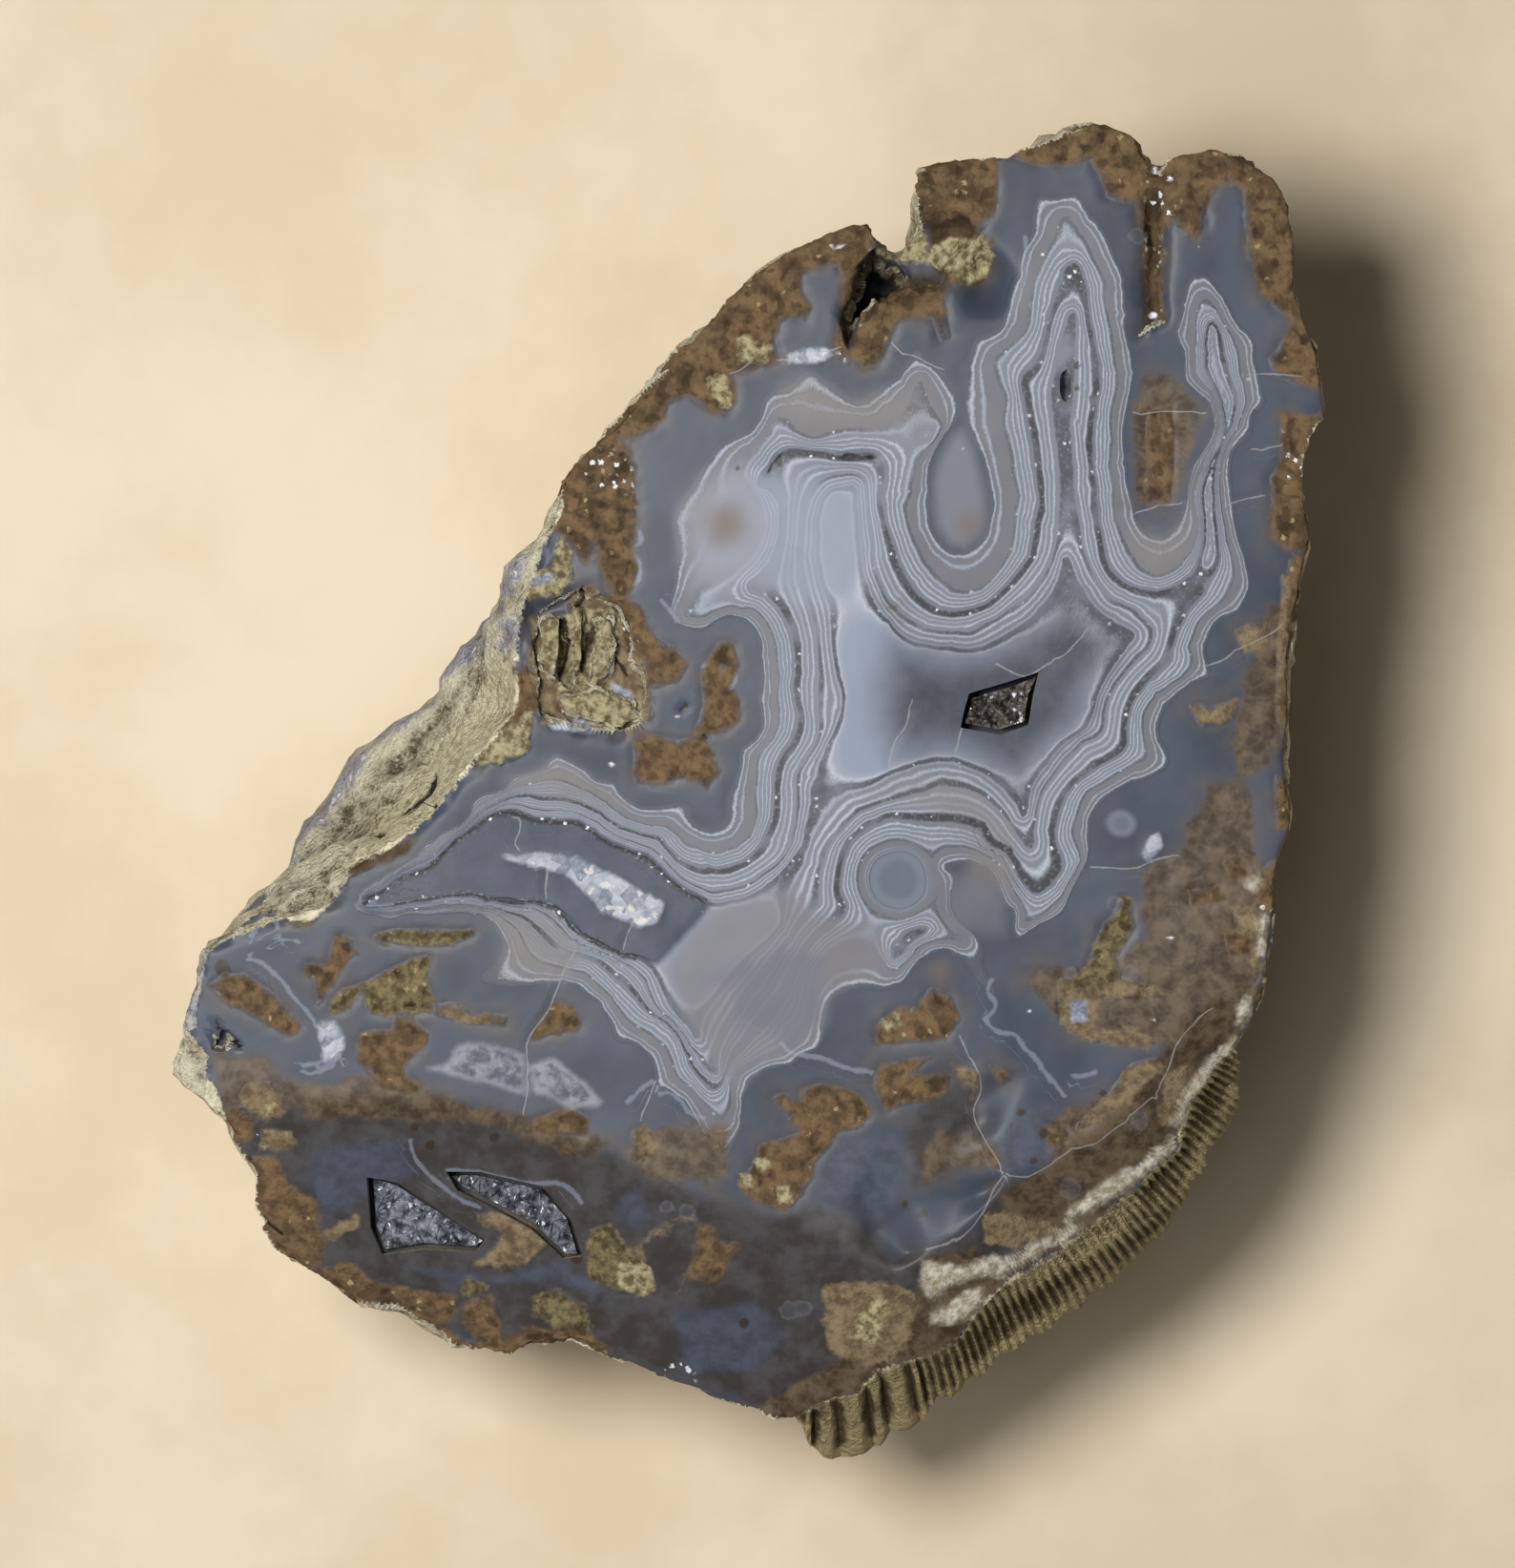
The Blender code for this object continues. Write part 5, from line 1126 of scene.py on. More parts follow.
def selectFaces(piece, chosen):
    # selects faces in code, ready for edit mode
    bpy.ops.object.mode_set(mode="EDIT")
    bpy.ops.mesh.select_mode(type="FACE")
    bpy.ops.mesh.select_all(action="DESELECT")
    bpy.ops.object.mode_set(mode="OBJECT")
    piece.data.polygons.foreach_set("select", chosen)


def copyOfNode(nodeName, pieceName):
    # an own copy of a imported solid, its loose triangles merged
    piece = bpy.data.objects.new(pieceName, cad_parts[nodeName].data.copy())
    bpy.context.scene.collection.objects.link(piece)
    selectOnly(piece)
    bpy.ops.mesh.customdata_custom_splitnormals_clear()
    bpy.ops.object.mode_set(mode="EDIT")
    bpy.ops.mesh.select_all(action="SELECT")
    bpy.ops.mesh.remove_doubles(threshold=stone["weld"])
    bpy.ops.object.mode_set(mode="OBJECT")
    return piece


def faceMiddles(piece):
    count = len(piece.data.polygons)
    middles, normals = np.empty(count * 3, np.float32), np.empty(count * 3, np.float32)
    piece.data.polygons.foreach_get("center", middles)
    piece.data.polygons.foreach_get("normal", normals)
    return middles.reshape(-1, 3) / mm, normals.reshape(-1, 3)


def subdivideFaces(piece, chosen, cuts):
    selectFaces(piece, chosen)
    bpy.ops.object.mode_set(mode="EDIT")
    bpy.ops.mesh.subdivide(number_cuts=cuts)
    bpy.ops.mesh.quads_convert_to_tris()
    bpy.ops.object.mode_set(mode="OBJECT")


def slotsOf(piece):
    slots = np.empty(len(piece.data.polygons), np.int32)
    piece.data.polygons.foreach_get("material_index", slots)
    return slots


def buildStone():
    # slot 0 is the face, slot 1 the rind and every other side
    piece = copyOfNode("agate_nodule", "agate_stone")
    piece.data.materials.clear()
    piece.data.materials.append(bandedChalcedony())
    piece.data.materials.append(oliveRind())
    middles, normals = faceMiddles(piece)
    flat = middles[:, :2].astype(float)
    outside = (depthInside(flat, rindArea) > 0) | (depthInside(flat, ribArea) > 0)
    upward = (normals[:, 2] > stone["faceSlope"]) & (middles[:, 2] > stone["faceLowest"])
    piece.data.polygons.foreach_set("material_index", np.where(upward & ~outside, 0, 1).astype(np.int32))
    subdivideFaces(piece, slotsOf(piece) == 0, stone["faceCuts"])
    middles, _ = faceMiddles(piece)
    inRibs = ribFaces(middles)
    sides = slotsOf(piece) == 1
    subdivideFaces(piece, sides & inRibs, stone["ribCuts"])
    middles, _ = faceMiddles(piece)
    inRibs = ribFaces(middles)
    subdivideFaces(piece, (slotsOf(piece) == 1) & ~inRibs, stone["sideCuts"])
    print("stone", len(piece.data.polygons), "faces")
    return piece


def ribFaces(middles):
    # which faces belong to the ribbed corner
    inside = depthInside(middles[:, :2].astype(float), ribArea) > 0
    return inside & (middles[:, 2] > stone["ribsLowest"])


def edgesOf(piece):
    edges = np.empty(len(piece.data.edges) * 2, np.int32)
    piece.data.edges.foreach_get("vertices", edges)
    return edges.reshape(-1, 2)


def evened(places, edges, rounds, hold):
    # each round moves every place half way to the middle of its neighbours
    one, two = edges[:, 0], edges[:, 1]
    count = np.bincount(edges.ravel(), minlength=len(places))[:, None]
    moved = places.copy()
    for _ in range(rounds):
        total = np.zeros_like(moved)
        for axis in range(3):
            total[:, axis] = np.bincount(one, weights=moved[two, axis], minlength=len(places))
            total[:, axis] += np.bincount(two, weights=moved[one, axis], minlength=len(places))
        moved += 0.5 * (1 - hold)[:, None] * (total / count - moved)
    return moved


def outwardOf(piece):
    outward = np.empty(len(piece.data.vertices) * 3, np.float32)
    piece.data.vertices.foreach_get("normal", outward)
    return outward.reshape(-1, 3).astype(float)


def roughOf(places, size, octaves, shift):
    # fractal noise at each place, about -1 to 1
    shift = Vector(shift)
    return np.array([noise.fractal(Vector(place) / size + shift, 0.8, 2.1, octaves) for place in places])


def shapeStone(piece, marks):
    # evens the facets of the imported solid, then sinks and roughens the surface, all inside its box
    start = placesOf(piece)
    edges = edgesOf(piece)
    flat = start[:, :2]
    hold = np.zeros(len(start))
    for low, high in hollows.values():
        beyond = np.maximum(np.array(low) - flat, flat - np.array(high)).max(axis=1)
        hold = np.maximum(hold, np.clip(stone["hollowReach"] - beyond, 0, 1))
    upper = start[:, 2] > stone["upperPart"]
    inRibs = np.clip(marks["ribs"] / 0.4 + 0.5, 0, 1) * upper
    hold = np.maximum(hold, stone["ribHold"] * inRibs)
    hold = np.where(start[:, 2] < stone["footHeight"], 1, hold)
    places = evened(start, edges, stone["smoothing"], hold)
    movePlaces(piece, places)
    outward = outwardOf(piece)
    slots = slotsOf(piece)
    corners = np.array([loop.vertex_index for loop in piece.data.loops])
    owners = np.repeat(slots, [len(face.vertices) for face in piece.data.polygons])
    sideShare = np.bincount(corners, weights=owners, minlength=len(places)) / np.bincount(corners)
    fine = roughOf(places, 0.9, 4, (3.1, 7.7, 1.3))
    broad = roughOf(places, 3.4, 5, (9.2, 2.4, 5.8))
    pitted = roughOf(places, 1.6, 3, (4.4, 8.1, 2.6))
    strip = np.clip(marks["strip"] / 0.6 + 0.5, 0, 1)
    side = stone["sideRough"] * broad + stone["sidePits"] * pitted + stone["sideFine"] * fine
    side = side * (1 - stone["stripCalm"] * strip) * (1 - stone["ribCalm"] * inRibs)
    face = stone["faceRough"] * broad
    for name, kind in patches.items():
        ragged = marks[name] + 0.25 * kind["ragged"] * broad
        share = np.clip(ragged / (2 * kind["soft"] + 0.2) + 0.5, 0, 1)
        face = face + share * (kind["rough"] * fine - kind["sink"])
    for name in ("crack", "slit"):
        share = marks[name + "Share"] * np.clip(1 - np.abs(marks[name]) / stone["lineWidth"], 0, 1)
        face = face - stone[name + "Depth"] * share
        if name == "slit":
            side = side - stone["sideSlitDepth"] * share
    moving = sideShare * side + (1 - sideShare) * face
    moving = moving * (1 - hold * upper * (1 - inRibs))
    moving = moving * np.clip((start[:, 2] - stone["footHeight"]) / stone["bottomHeight"], 0, 1)
    places = places + moving[:, None] * outward
    places = np.clip(places, start.min(axis=0), start.max(axis=0))
    movePlaces(piece, places)
    # how far each place stands out of the evened surface round it
    level = evened(places, edges, stone["crestRounds"], np.zeros(len(places)))
    crest = ((places - level) * outwardOf(piece)).sum(axis=1)
    writeAttribute(piece, "crest", np.clip(crest, -stone["crestReach"], stone["crestReach"]))


def placesNear(places, points, reach):
    # numbers of the places inside the box of the points, widened by reach
    low, high = points.min(axis=0) - reach, points.max(axis=0) + reach
    return np.nonzero(np.all((places > low) & (places < high), axis=1))[0]


def besideLines(places, lines, reach):
    # signed distance to the nearest of the lines, and 1 where a place lies beside one
    signed, nearest = np.full(len(places), reach), np.full(len(places), reach)
    share = np.zeros(len(places))
    for line in lines:
        curve = curveThrough(line, 0.3)
        near = placesNear(places, curve, reach)
        if len(near) == 0:
            continue
        spot = places[near]
        best, side, beside = nearest[near], signed[near], share[near]
        last = len(curve) - 2
        for i, (start, end) in enumerate(zip(curve[:-1], curve[1:])):
            along = end - start
            at = (spot - start) @ along / (along @ along)
            gap = spot - start - np.clip(at, 0, 1)[:, None] * along
            far = np.hypot(gap[:, 0], gap[:, 1])
            closer = far < best
            turn = np.sign(along[0] * (spot[:, 1] - start[1]) - along[1] * (spot[:, 0] - start[0]))
            inLine = ~(((i == 0) & (at < 0)) | ((i == last) & (at > 1)))
            best = np.where(closer, far, best)
            side = np.where(closer, far * turn, side)
            beside = np.where(closer, inLine, beside)
        nearest[near], signed[near], share[near] = best, side, beside
    return signed, share


def depthNear(places, outlines, reach=3.0):
    # depth inside the outlines, no finer than it needs to be farther than reach from them
    deep = np.full(len(places), -reach)
    for outline in outlines:
        near = placesNear(places, np.array(outline), reach)
        deep[near] = np.maximum(deep[near], depthInside(places[near], outline))
    return np.clip(deep, -reach, reach)


def marksOf(places):
    # every mark of the stone as values at the places
    outlined = {**patches, **tints, **otherMarks}
    marks = {name: depthNear(places, kind["outlines"]) for name, kind in outlined.items()}
    staining = ("umber", "tan", "olive", "rust", "rim", "smokeAndFacetShade")
    marks["stain"] = np.max([marks[name] for name in staining], axis=0)
    marks["rind"] = depthNear(places, [rindArea])
    marks["ribs"] = depthNear(places, [ribArea])
    crumbly = ["rind", "ribs"] + [name for name, kind in patches.items() if kind["rough"] > roughFrom]
    marks["crumbly"] = np.max([marks[name] for name in crumbly], axis=0)
    for name, kind in lineMarks.items():
        marks[name], marks[name + "Share"] = besideLines(places, kind["lines"], 0.8)
    for name, kind in spots.items():
        gaps = [radius - np.hypot(places[:, 0] - x, places[:, 1] - y) for x, y, radius in kind["places"]]
        marks[name] = np.clip(np.max(gaps, axis=0), -1, 3)
    return marks


def dressStone(piece, sheet):
    flat = placesOf(piece)[:, :2]
    spacing = field["spacings"][-1]
    across = (flat[:, 0] - field["corner"][0]) / spacing
    up = (flat[:, 1] - field["corner"][1]) / spacing
    marks = marksOf(flat)
    marks["band"] = readGrid(sheet, across, up)
    for name, values in marks.items():
        writeAttribute(piece, name, values)
    shapeStone(piece, marks)
    piece.data.shade_smooth()
    selectOnly(piece)
    bpy.ops.object.shade_smooth_by_angle(angle=math.radians(40))


def buildCrust(nodeName, kind):
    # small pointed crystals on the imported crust, each peak no higher than the solid
    piece = copyOfNode(nodeName, kind["piece"])
    piece.data.materials.clear()
    piece.data.materials.append(crystalQuartz(kind))
    subdivideFaces(piece, np.ones(len(piece.data.polygons), bool), kind["cuts"])
    places, outward = placesOf(piece), outwardOf(piece)
    low, high = places.min(axis=0), places.max(axis=0)
    chance = np.random.default_rng(kind["seed"])
    count = int((high[0] - low[0]) * (high[1] - low[1]) / kind["size"] ** 2)
    peaks = low[:2] + chance.random((count, 2)) * (high - low)[:2]
    tall = chance.random(count)
    gap = np.hypot(places[:, :1] - peaks[:, 0], places[:, 1:2] - peaks[:, 1])
    fall = np.min(gap / kind["size"] + 0.5 * tall, axis=1)
    top = np.clip((outward[:, 2] - 0.2) / 0.3, 0, 1)
    places[:, 2] -= kind["depth"] * top * np.clip(fall, 0, 1.2)
    movePlaces(piece, np.clip(places, low, high))
    piece.data.shade_flat()
    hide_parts(nodeName)
    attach(piece, "root")
    return piece


# Shader helpers: each adds one node and gives back its output.
def feed(tree, socket, value):
    if isinstance(value, bpy.types.NodeSocket):
        tree.links.new(value, socket)
    else:
        socket.default_value = value


def addNode(tree, kind, settings=None, **inputs):
    made = tree.nodes.new(kind)
    for name, value in (settings or {}).items():
        setattr(made, name, value)
    for name, value in inputs.items():
        feed(tree, made.inputs[name.replace("_", " ")], value)
    return made


def calc(tree, operation, first, second=0.0):
    made = tree.nodes.new("ShaderNodeMath")
    made.operation = operation
    feed(tree, made.inputs[0], first)
    feed(tree, made.inputs[1], second)
    return made.outputs[0]


def fade(tree, value, low, high):
    made = addNode(tree, "ShaderNodeMapRange", {"interpolation_type": "SMOOTHSTEP"}, Value=value)
    feed(tree, made.inputs["From Min"], low)
    feed(tree, made.inputs["From Max"], high)
    return made.outputs["Result"]


def scaled(tree, value, share):
    return calc(tree, "MULTIPLY", value, share)


def swing(tree, field, reach):
    # turns noise round a half into a swing round zero
    return calc(tree, "MULTIPLY", calc(tree, "SUBTRACT", field, 0.5), reach)


def mixColour(tree, share, first, second):
    made = tree.nodes.new("ShaderNodeMix")
    made.data_type = "RGBA"
    feed(tree, made.inputs[0], share)
    feed(tree, made.inputs[6], first)
    feed(tree, made.inputs[7], second)
    return made.outputs[2]


def between(tree, share, dark, light):
    # from one colour as seen to another
    return mixColour(tree, share, tint(*dark), tint(*light))


def painted(tree, share, under, seen):
    # lays a colour as seen over what is there
    return mixColour(tree, share, under, tint(*seen))


def grain(tree, place, size, detail=2.0, rough=0.5):
    made = addNode(tree, "ShaderNodeTexNoise", Vector=place, Scale=1 / size, Detail=detail,
                   Roughness=rough)
    return made.outputs["Fac"]


def colourRamp(tree, value, stops):
    made = addNode(tree, "ShaderNodeValToRGB", Fac=value)
    elements = made.color_ramp.elements
    elements[0].position, elements[1].position = 0.0, 1.0
    while len(elements) < len(stops):
        elements.new(0.5)
    for element, (position, colour) in zip(elements, stops):
        element.position = position
        element.color = colour
    return made.outputs["Color"]


def attribute(tree, name):
    return addNode(tree, "ShaderNodeAttribute", {"attribute_name": name}).outputs["Fac"]


def placeInMillimetres(tree):
    place = tree.nodes.new("ShaderNodeTexCoord").outputs["Object"]
    scale = (1 / mm, 1 / mm, 1 / mm)
    return addNode(tree, "ShaderNodeMapping", Vector=place, Scale=scale).outputs["Vector"]


def newMaterial(name):
    material = bpy.data.materials.new(name)
    material.use_nodes = True
    return material, material.node_tree, material.node_tree.nodes["Principled BSDF"]


def newGroup(name, inputs, outputs):
    tree = bpy.data.node_groups.new(name, "ShaderNodeTree")
    for socketName, kind in inputs:
        tree.interface.new_socket(name=socketName, in_out="INPUT", socket_type=kind)
    for socketName, kind in outputs:
        tree.interface.new_socket(name=socketName, in_out="OUTPUT", socket_type=kind)
    return tree, tree.nodes.new("NodeGroupInput"), tree.nodes.new("NodeGroupOutput")


def glintGroup():
    # scattered small spots: painted glints where faces of crystals would catch the light, and scattered
    # grains
    inputs = [("Place", "NodeSocketVector"), ("Size", "NodeSocketFloat"), ("Amount", "NodeSocketFloat")]
    tree, given, result = newGroup("glints", inputs, [("Share", "NodeSocketFloat")])
    scale = calc(tree, "DIVIDE", 1.0, given.outputs["Size"])
    finer = scaled(tree, scale, 2.3)
    noisy = addNode(tree, "ShaderNodeTexNoise", Vector=given.outputs["Place"], Scale=finer)
    reach = calc(tree, "DIVIDE", 0.9, scale)
    bend = addNode(tree, "ShaderNodeVectorMath", {"operation": "SCALE"}, Scale=reach)
    tree.links.new(noisy.outputs["Color"], bend.inputs[0])
    shifted = addNode(tree, "ShaderNodeVectorMath", {"operation": "ADD"})
    tree.links.new(given.outputs["Place"], shifted.inputs[0])
    tree.links.new(bend.outputs["Vector"], shifted.inputs[1])
    cells = addNode(tree, "ShaderNodeTexVoronoi", Vector=shifted.outputs["Vector"], Scale=scale)
    chance = addNode(tree, "ShaderNodeSeparateColor", Color=cells.outputs["Color"]).outputs["Red"]
    lit = calc(tree, "GREATER_THAN", given.outputs["Amount"], chance)
    near = fade(tree, cells.outputs["Distance"], 0.4, 0.2)
    tree.links.new(calc(tree, "MULTIPLY", near, lit), result.inputs["Share"])
    return tree


def rindGroup(glints):
    # the rough rind with its smooth strip and blue fringe, and the dark ribs, with painted shade in hollows
    # and painted highlights on raised places and rib crests
    outputs = [("Colour", "NodeSocketColor"), ("Height", "NodeSocketFloat")]
    tree, _, result = newGroup("rindSkin", [], outputs)
    place = placeInMillimetres(tree)
    crest = attribute(tree, "crest")
    coarse = grain(tree, place, 2.6, 4.0, 0.72)
    fine = grain(tree, place, 0.6, 4.0, 0.75)
    grit = grain(tree, place, 0.25, 2.0, 0.7)
    height = calc(tree, "ADD", calc(tree, "ADD", coarse, fine), scaled(tree, grit, 0.4))
    # painted light and shade: places that stand out of the surface are painted lighter and hollows darker,
    # mixed with the rind's random tone
    crestShade = calc(tree, "MULTIPLY", crest, rindLook["crestShading"])
    shadedTone = calc(tree, "ADD", crestShade, scaled(tree, height, 0.41))
    colour = between(tree, fade(tree, shadedTone, 0.3, 0.66), rindLook["dark"], rindLook["light"])
    browner = fade(tree, grain(tree, place, 6.0, 2.0), 0.4, 0.75)
    upDown = addNode(tree, "ShaderNodeSeparateXYZ", Vector=place).outputs["Z"]
    under = calc(tree, "MAXIMUM", scaled(tree, browner, 0.5), fade(tree, upDown, 26.0, 4.0))
    brown = between(tree, fade(tree, shadedTone, 0.28, 0.74), rindLook["brownDark"], rindLook["brownLight"])
    colour = mixColour(tree, scaled(tree, under, 0.45), colour, brown)
    # painted shade in the pits and hollows, with random dark spots
    pitShading = fade(tree, calc(tree, "ADD", fine, scaled(tree, crest, 0.5)), 0.43, 0.33)
    colour = painted(tree, scaled(tree, pitShading, 0.6), colour, rindLook["pitShade"])
    specks = scaled(tree, fade(tree, grit, 0.6, 0.7), 0.6)
    colour = painted(tree, specks, colour, rindLook["speck"])
    strip = edgeShare(tree, fine, attribute(tree, "strip"), 0.4, 0.3)
    flatTone = between(tree, fade(tree, fine, 0.35, 0.6), rindLook["stripDark"], rindLook["stripLight"])
    colour = mixColour(tree, strip, colour, flatTone)
    fringe = edgeShare(tree, coarse, attribute(tree, "fringe"), 1.8, 0.9)
    bluish = between(tree, fade(tree, shadedTone, 0.38, 0.6), rindLook["fringeDark"], rindLook["fringeLight"])
    colour = mixColour(tree, scaled(tree, fringe, 0.85), colour, bluish)
    # painted glints on the fringe
    paintedGlints = calc(tree, "MULTIPLY", glints(tree, place, 0.75, 0.3), fringe)
    colour = painted(tree, paintedGlints, colour, rindLook["glint"])
    ribs = edgeShare(tree, fine, attribute(tree, "ribs"), 0.4, 0.3)
    ribs = calc(tree, "MULTIPLY", ribs, fade(tree, upDown, 8.0, 13.0))
    # painted highlight on the rib crests, over the dark brown of the ribs
    crestHighlight = fade(tree, calc(tree, "ADD", crest, swing(tree, fine, 0.35)),
                 -0.1, 0.14)
    ribTone = between(tree, crestHighlight, rindLook["ribDark"], rindLook["ribCrestHighlight"])
    colour = mixColour(tree, ribs, colour, ribTone)
    slit = lineShare(tree, "slit", lineMarks["slit"]["half"])
    colour = painted(tree, slit, colour, lineMarks["slit"]["colour"])
    tree.links.new(colour, result.inputs["Colour"])
    tree.links.new(height, result.inputs["Height"])
    return tree


def lineShare(tree, name, half):
    away = calc(tree, "ABSOLUTE", attribute(tree, name))
    place = placeInMillimetres(tree)
    waver = swing(tree, grain(tree, place, 0.7, 4.0, 0.65), half * 3.0)
    away = calc(tree, "ADD", away, waver)
    shown = fade(tree, away, half * 1.6, half * 0.4)
    return calc(tree, "MULTIPLY", shown, fade(tree, attribute(tree, name + "Share"), 0.4, 0.9))


def levelRamp(tree, level, lines):
    low, high = lines[0][0], lines[-1][0]
    share = addNode(tree, "ShaderNodeMapRange", Value=level, From_Min=low, From_Max=high).outputs["Result"]
    stops = [((at - low) / (high - low), tint(*shades[shade])) for at, shade in lines]
    return colourRamp(tree, share, stops)


def edgeShare(tree, field, depth, amount, soft):
    uneven = swing(tree, field, 4.0 * amount)
    return fade(tree, calc(tree, "ADD", depth, uneven), -soft, soft)


def glintShare(tree, place, size, amount):
    made = addNode(tree, "ShaderNodeGroup", {"node_tree": groups["glints"]}, Place=place, Size=size,
                   Amount=amount)
    return made.outputs["Share"]


def bumpFrom(tree, height, distance, strength=1.0):
    made = addNode(tree, "ShaderNodeBump", Height=height, Distance=distance * mm, Strength=strength)
    return made.outputs["Normal"]


def nearestField(size):
    # which shared noise field comes closest to a grain size, the finest field left out
    return min(range(1, len(mottleSizes)), key=lambda order: abs(mottleSizes[order] - size))


def bandedChalcedony():
    material, tree, shader = newMaterial("bandedChalcedony")
    place = placeInMillimetres(tree)
    # a few noise fields serve all kinds of matter, which keeps the render quick
    fields = [grain(tree, place, size, 3.5, 0.63) for size in mottleSizes]
    wobble = swing(tree, grain(tree, place, 1.1), 0.16)
    crumb = swing(tree, grain(tree, place, 0.16), 0.10)
    level = calc(tree, "ADD", attribute(tree, "band"), wobble)
    fineLevel = calc(tree, "ADD", level, crumb)
    outer = levelRamp(tree, fineLevel, outerLines)
    inner = levelRamp(tree, fineLevel, innerLines)
    lines = mixColour(tree, calc(tree, "GREATER_THAN", fineLevel, outerLines[-1][0]), outer, inner)
    cloud = grain(tree, place, 7.0, 3.0)
    plain = between(tree, fade(tree, cloud, 0.35, 0.65), shades["plain"], shades["plainLight"])
    colour = mixColour(tree, fade(tree, fineLevel, -0.05, -0.2), lines, plain)
    calm = fade(tree, calc(tree, "MAXIMUM", attribute(tree, "quiet"), attribute(tree, "haze")), 0.5, -1.0)
    paleness = addNode(tree, "ShaderNodeRGBToBW", Color=lines).outputs["Val"]
    lineHeight = calc(tree, "MULTIPLY", paleness, calm)
    for name, kind in tints.items():
        soft = kind["soft"]
        share = calc(tree, "MULTIPLY", fade(tree, attribute(tree, name), -soft, soft), kind["strength"])
        colour = painted(tree, share, colour, kind["colour"])
    glow = fade(tree, attribute(tree, "glow"), -1.0, 1.4)
    colour = painted(tree, scaled(tree, glow, 0.8), colour, spots["glow"]["colour"])

    for name in ("orbRing", "orbCore"):
        share = scaled(tree, fade(tree, attribute(tree, name), -0.35, 0.25), 0.85)
        colour = painted(tree, share, colour, spots[name]["colour"])

    # dark granular lines with sparkles
    strengths = None
    uneven = fade(tree, fields[4], 0.3, 0.55)
    for at, half, strength in granularLines:
        away = calc(tree, "ABSOLUTE", calc(tree, "SUBTRACT", fineLevel, at))
        share = calc(tree, "MULTIPLY", fade(tree, away, half * 1.2, half * 0.5), strength)
        strengths = share if strengths is None else calc(tree, "MAXIMUM", strengths, share)
    strengths = calc(tree, "MULTIPLY", strengths, uneven)
    strengths = calc(tree, "MULTIPLY", strengths, calm)
    sparks = glintShare(tree, place, 0.4, 0.13)
    darkLine = between(tree, sparks, shades["granular"], shades["sparkle"])
    paleGrains = fade(tree, grain(tree, place, 0.25, 3.0), 0.52, 0.7)
    darkLine = painted(tree, paleGrains, darkLine, shades["granularLight"])
    colour = mixColour(tree, strengths, colour, darkLine)

    # matter stains the clear stone round it
    cloudy = swing(tree, fields[3], 5.0)
    stain = calc(tree, "ADD", attribute(tree, "stain"), cloudy)
    stain = scaled(tree, fade(tree, stain, -1.7, 0.5), 0.5)
    colour = painted(tree, stain, colour, shades["stain"])

    covered = None
    for name, kind in patches.items():
        order = nearestField(kind["grain"])
        share = edgeShare(tree, fields[order], attribute(tree, name), kind["ragged"] * 0.5, kind["soft"])
        mottle = fade(tree, fields[order - 1], 0.34, 0.66)
        matter = between(tree, mottle, kind["dark"], kind["light"])
        if name in ("umber", "tan"):
            swirl = calc(tree, "PINGPONG", scaled(tree, grain(tree, place, 2.6, 2.5), 7.0), 0.5)
            vein = scaled(tree, fade(tree, swirl, 0.3, 0.0), 0.14)
            matter = painted(tree, vein, matter, shades["swirl"])
        if name in ("olive", "rust", "rim"):
            specks = glintShare(tree, place, 0.6, 0.12 if name == "olive" else 0.06)
            matter = painted(tree, specks, matter, shades["yellowGrain"])
            # painted shade in the hollows of the rough matter
            pitShading = fade(tree, attribute(tree, "crest"), -0.01, -0.05)
            matter = painted(tree, scaled(tree, pitShading, 0.5), matter, shades["pitShade"])
        if name == "veil":
            rim = scaled(tree, fade(tree, attribute(tree, name), 0.45, 0.1), 0.7)
            matter = painted(tree, rim, matter, kind["light"])
        if name == "milk":
            facet = addNode(tree, "ShaderNodeTexVoronoi", Vector=place, Scale=1.15).outputs["Color"]
            facet = fade(tree, addNode(tree, "ShaderNodeRGBToBW", Color=facet).outputs["Val"], 0.3, 0.75)
            flat = between(tree, facet, kind["dark"], kind["light"])
            matter = mixColour(tree, 0.6, matter, flat)
            # painted glints
            paintedGlints = fade(tree, grain(tree, place, 0.9, 3.0, 0.6), 0.56, 0.66)
            matter = painted(tree, scaled(tree, paintedGlints, 0.6), matter, shades["creamGlint"])
        if name in ("blue", "smokeAndFacetShade"):
            share = scaled(tree, share, 0.85)
        colour = mixColour(tree, share, colour, matter)
        if kind["rough"] > roughFrom:
            covered = share if covered is None else calc(tree, "MAXIMUM", covered, share)
        if name == "vugZone":
            colour = mixColour(tree, lineShare(tree, "seam", lineMarks["seam"]["half"]), colour, darkLine)
        if name == "umber":
            wisp = scaled(tree, lineShare(tree, "wisp", lineMarks["wisp"]["half"]), 0.45)
            colour = painted(tree, wisp, colour, lineMarks["wisp"]["colour"])
    for name in ("disc", "darkSpot", "glint"):
        share = edgeShare(tree, fields[0], attribute(tree, name), 0.0 if name == "glint" else 0.14, 0.1)
        if name == "disc":
            middle = scaled(tree, fade(tree, attribute(tree, name), 0.0, 0.3), 0.6)
            share = scaled(tree, calc(tree, "SUBTRACT", share, middle), 0.3)
        if name == "darkSpot":
            share = scaled(tree, share, 0.8)
        colour = painted(tree, share, colour, spots[name]["colour"])
    for name in ("crack", "slit"):
        strength = 0.6 if name == "crack" else 0.9
        share = calc(tree, "MULTIPLY", lineShare(tree, name, lineMarks[name]["half"]), strength)
        colour = painted(tree, share, colour, lineMarks[name]["colour"])
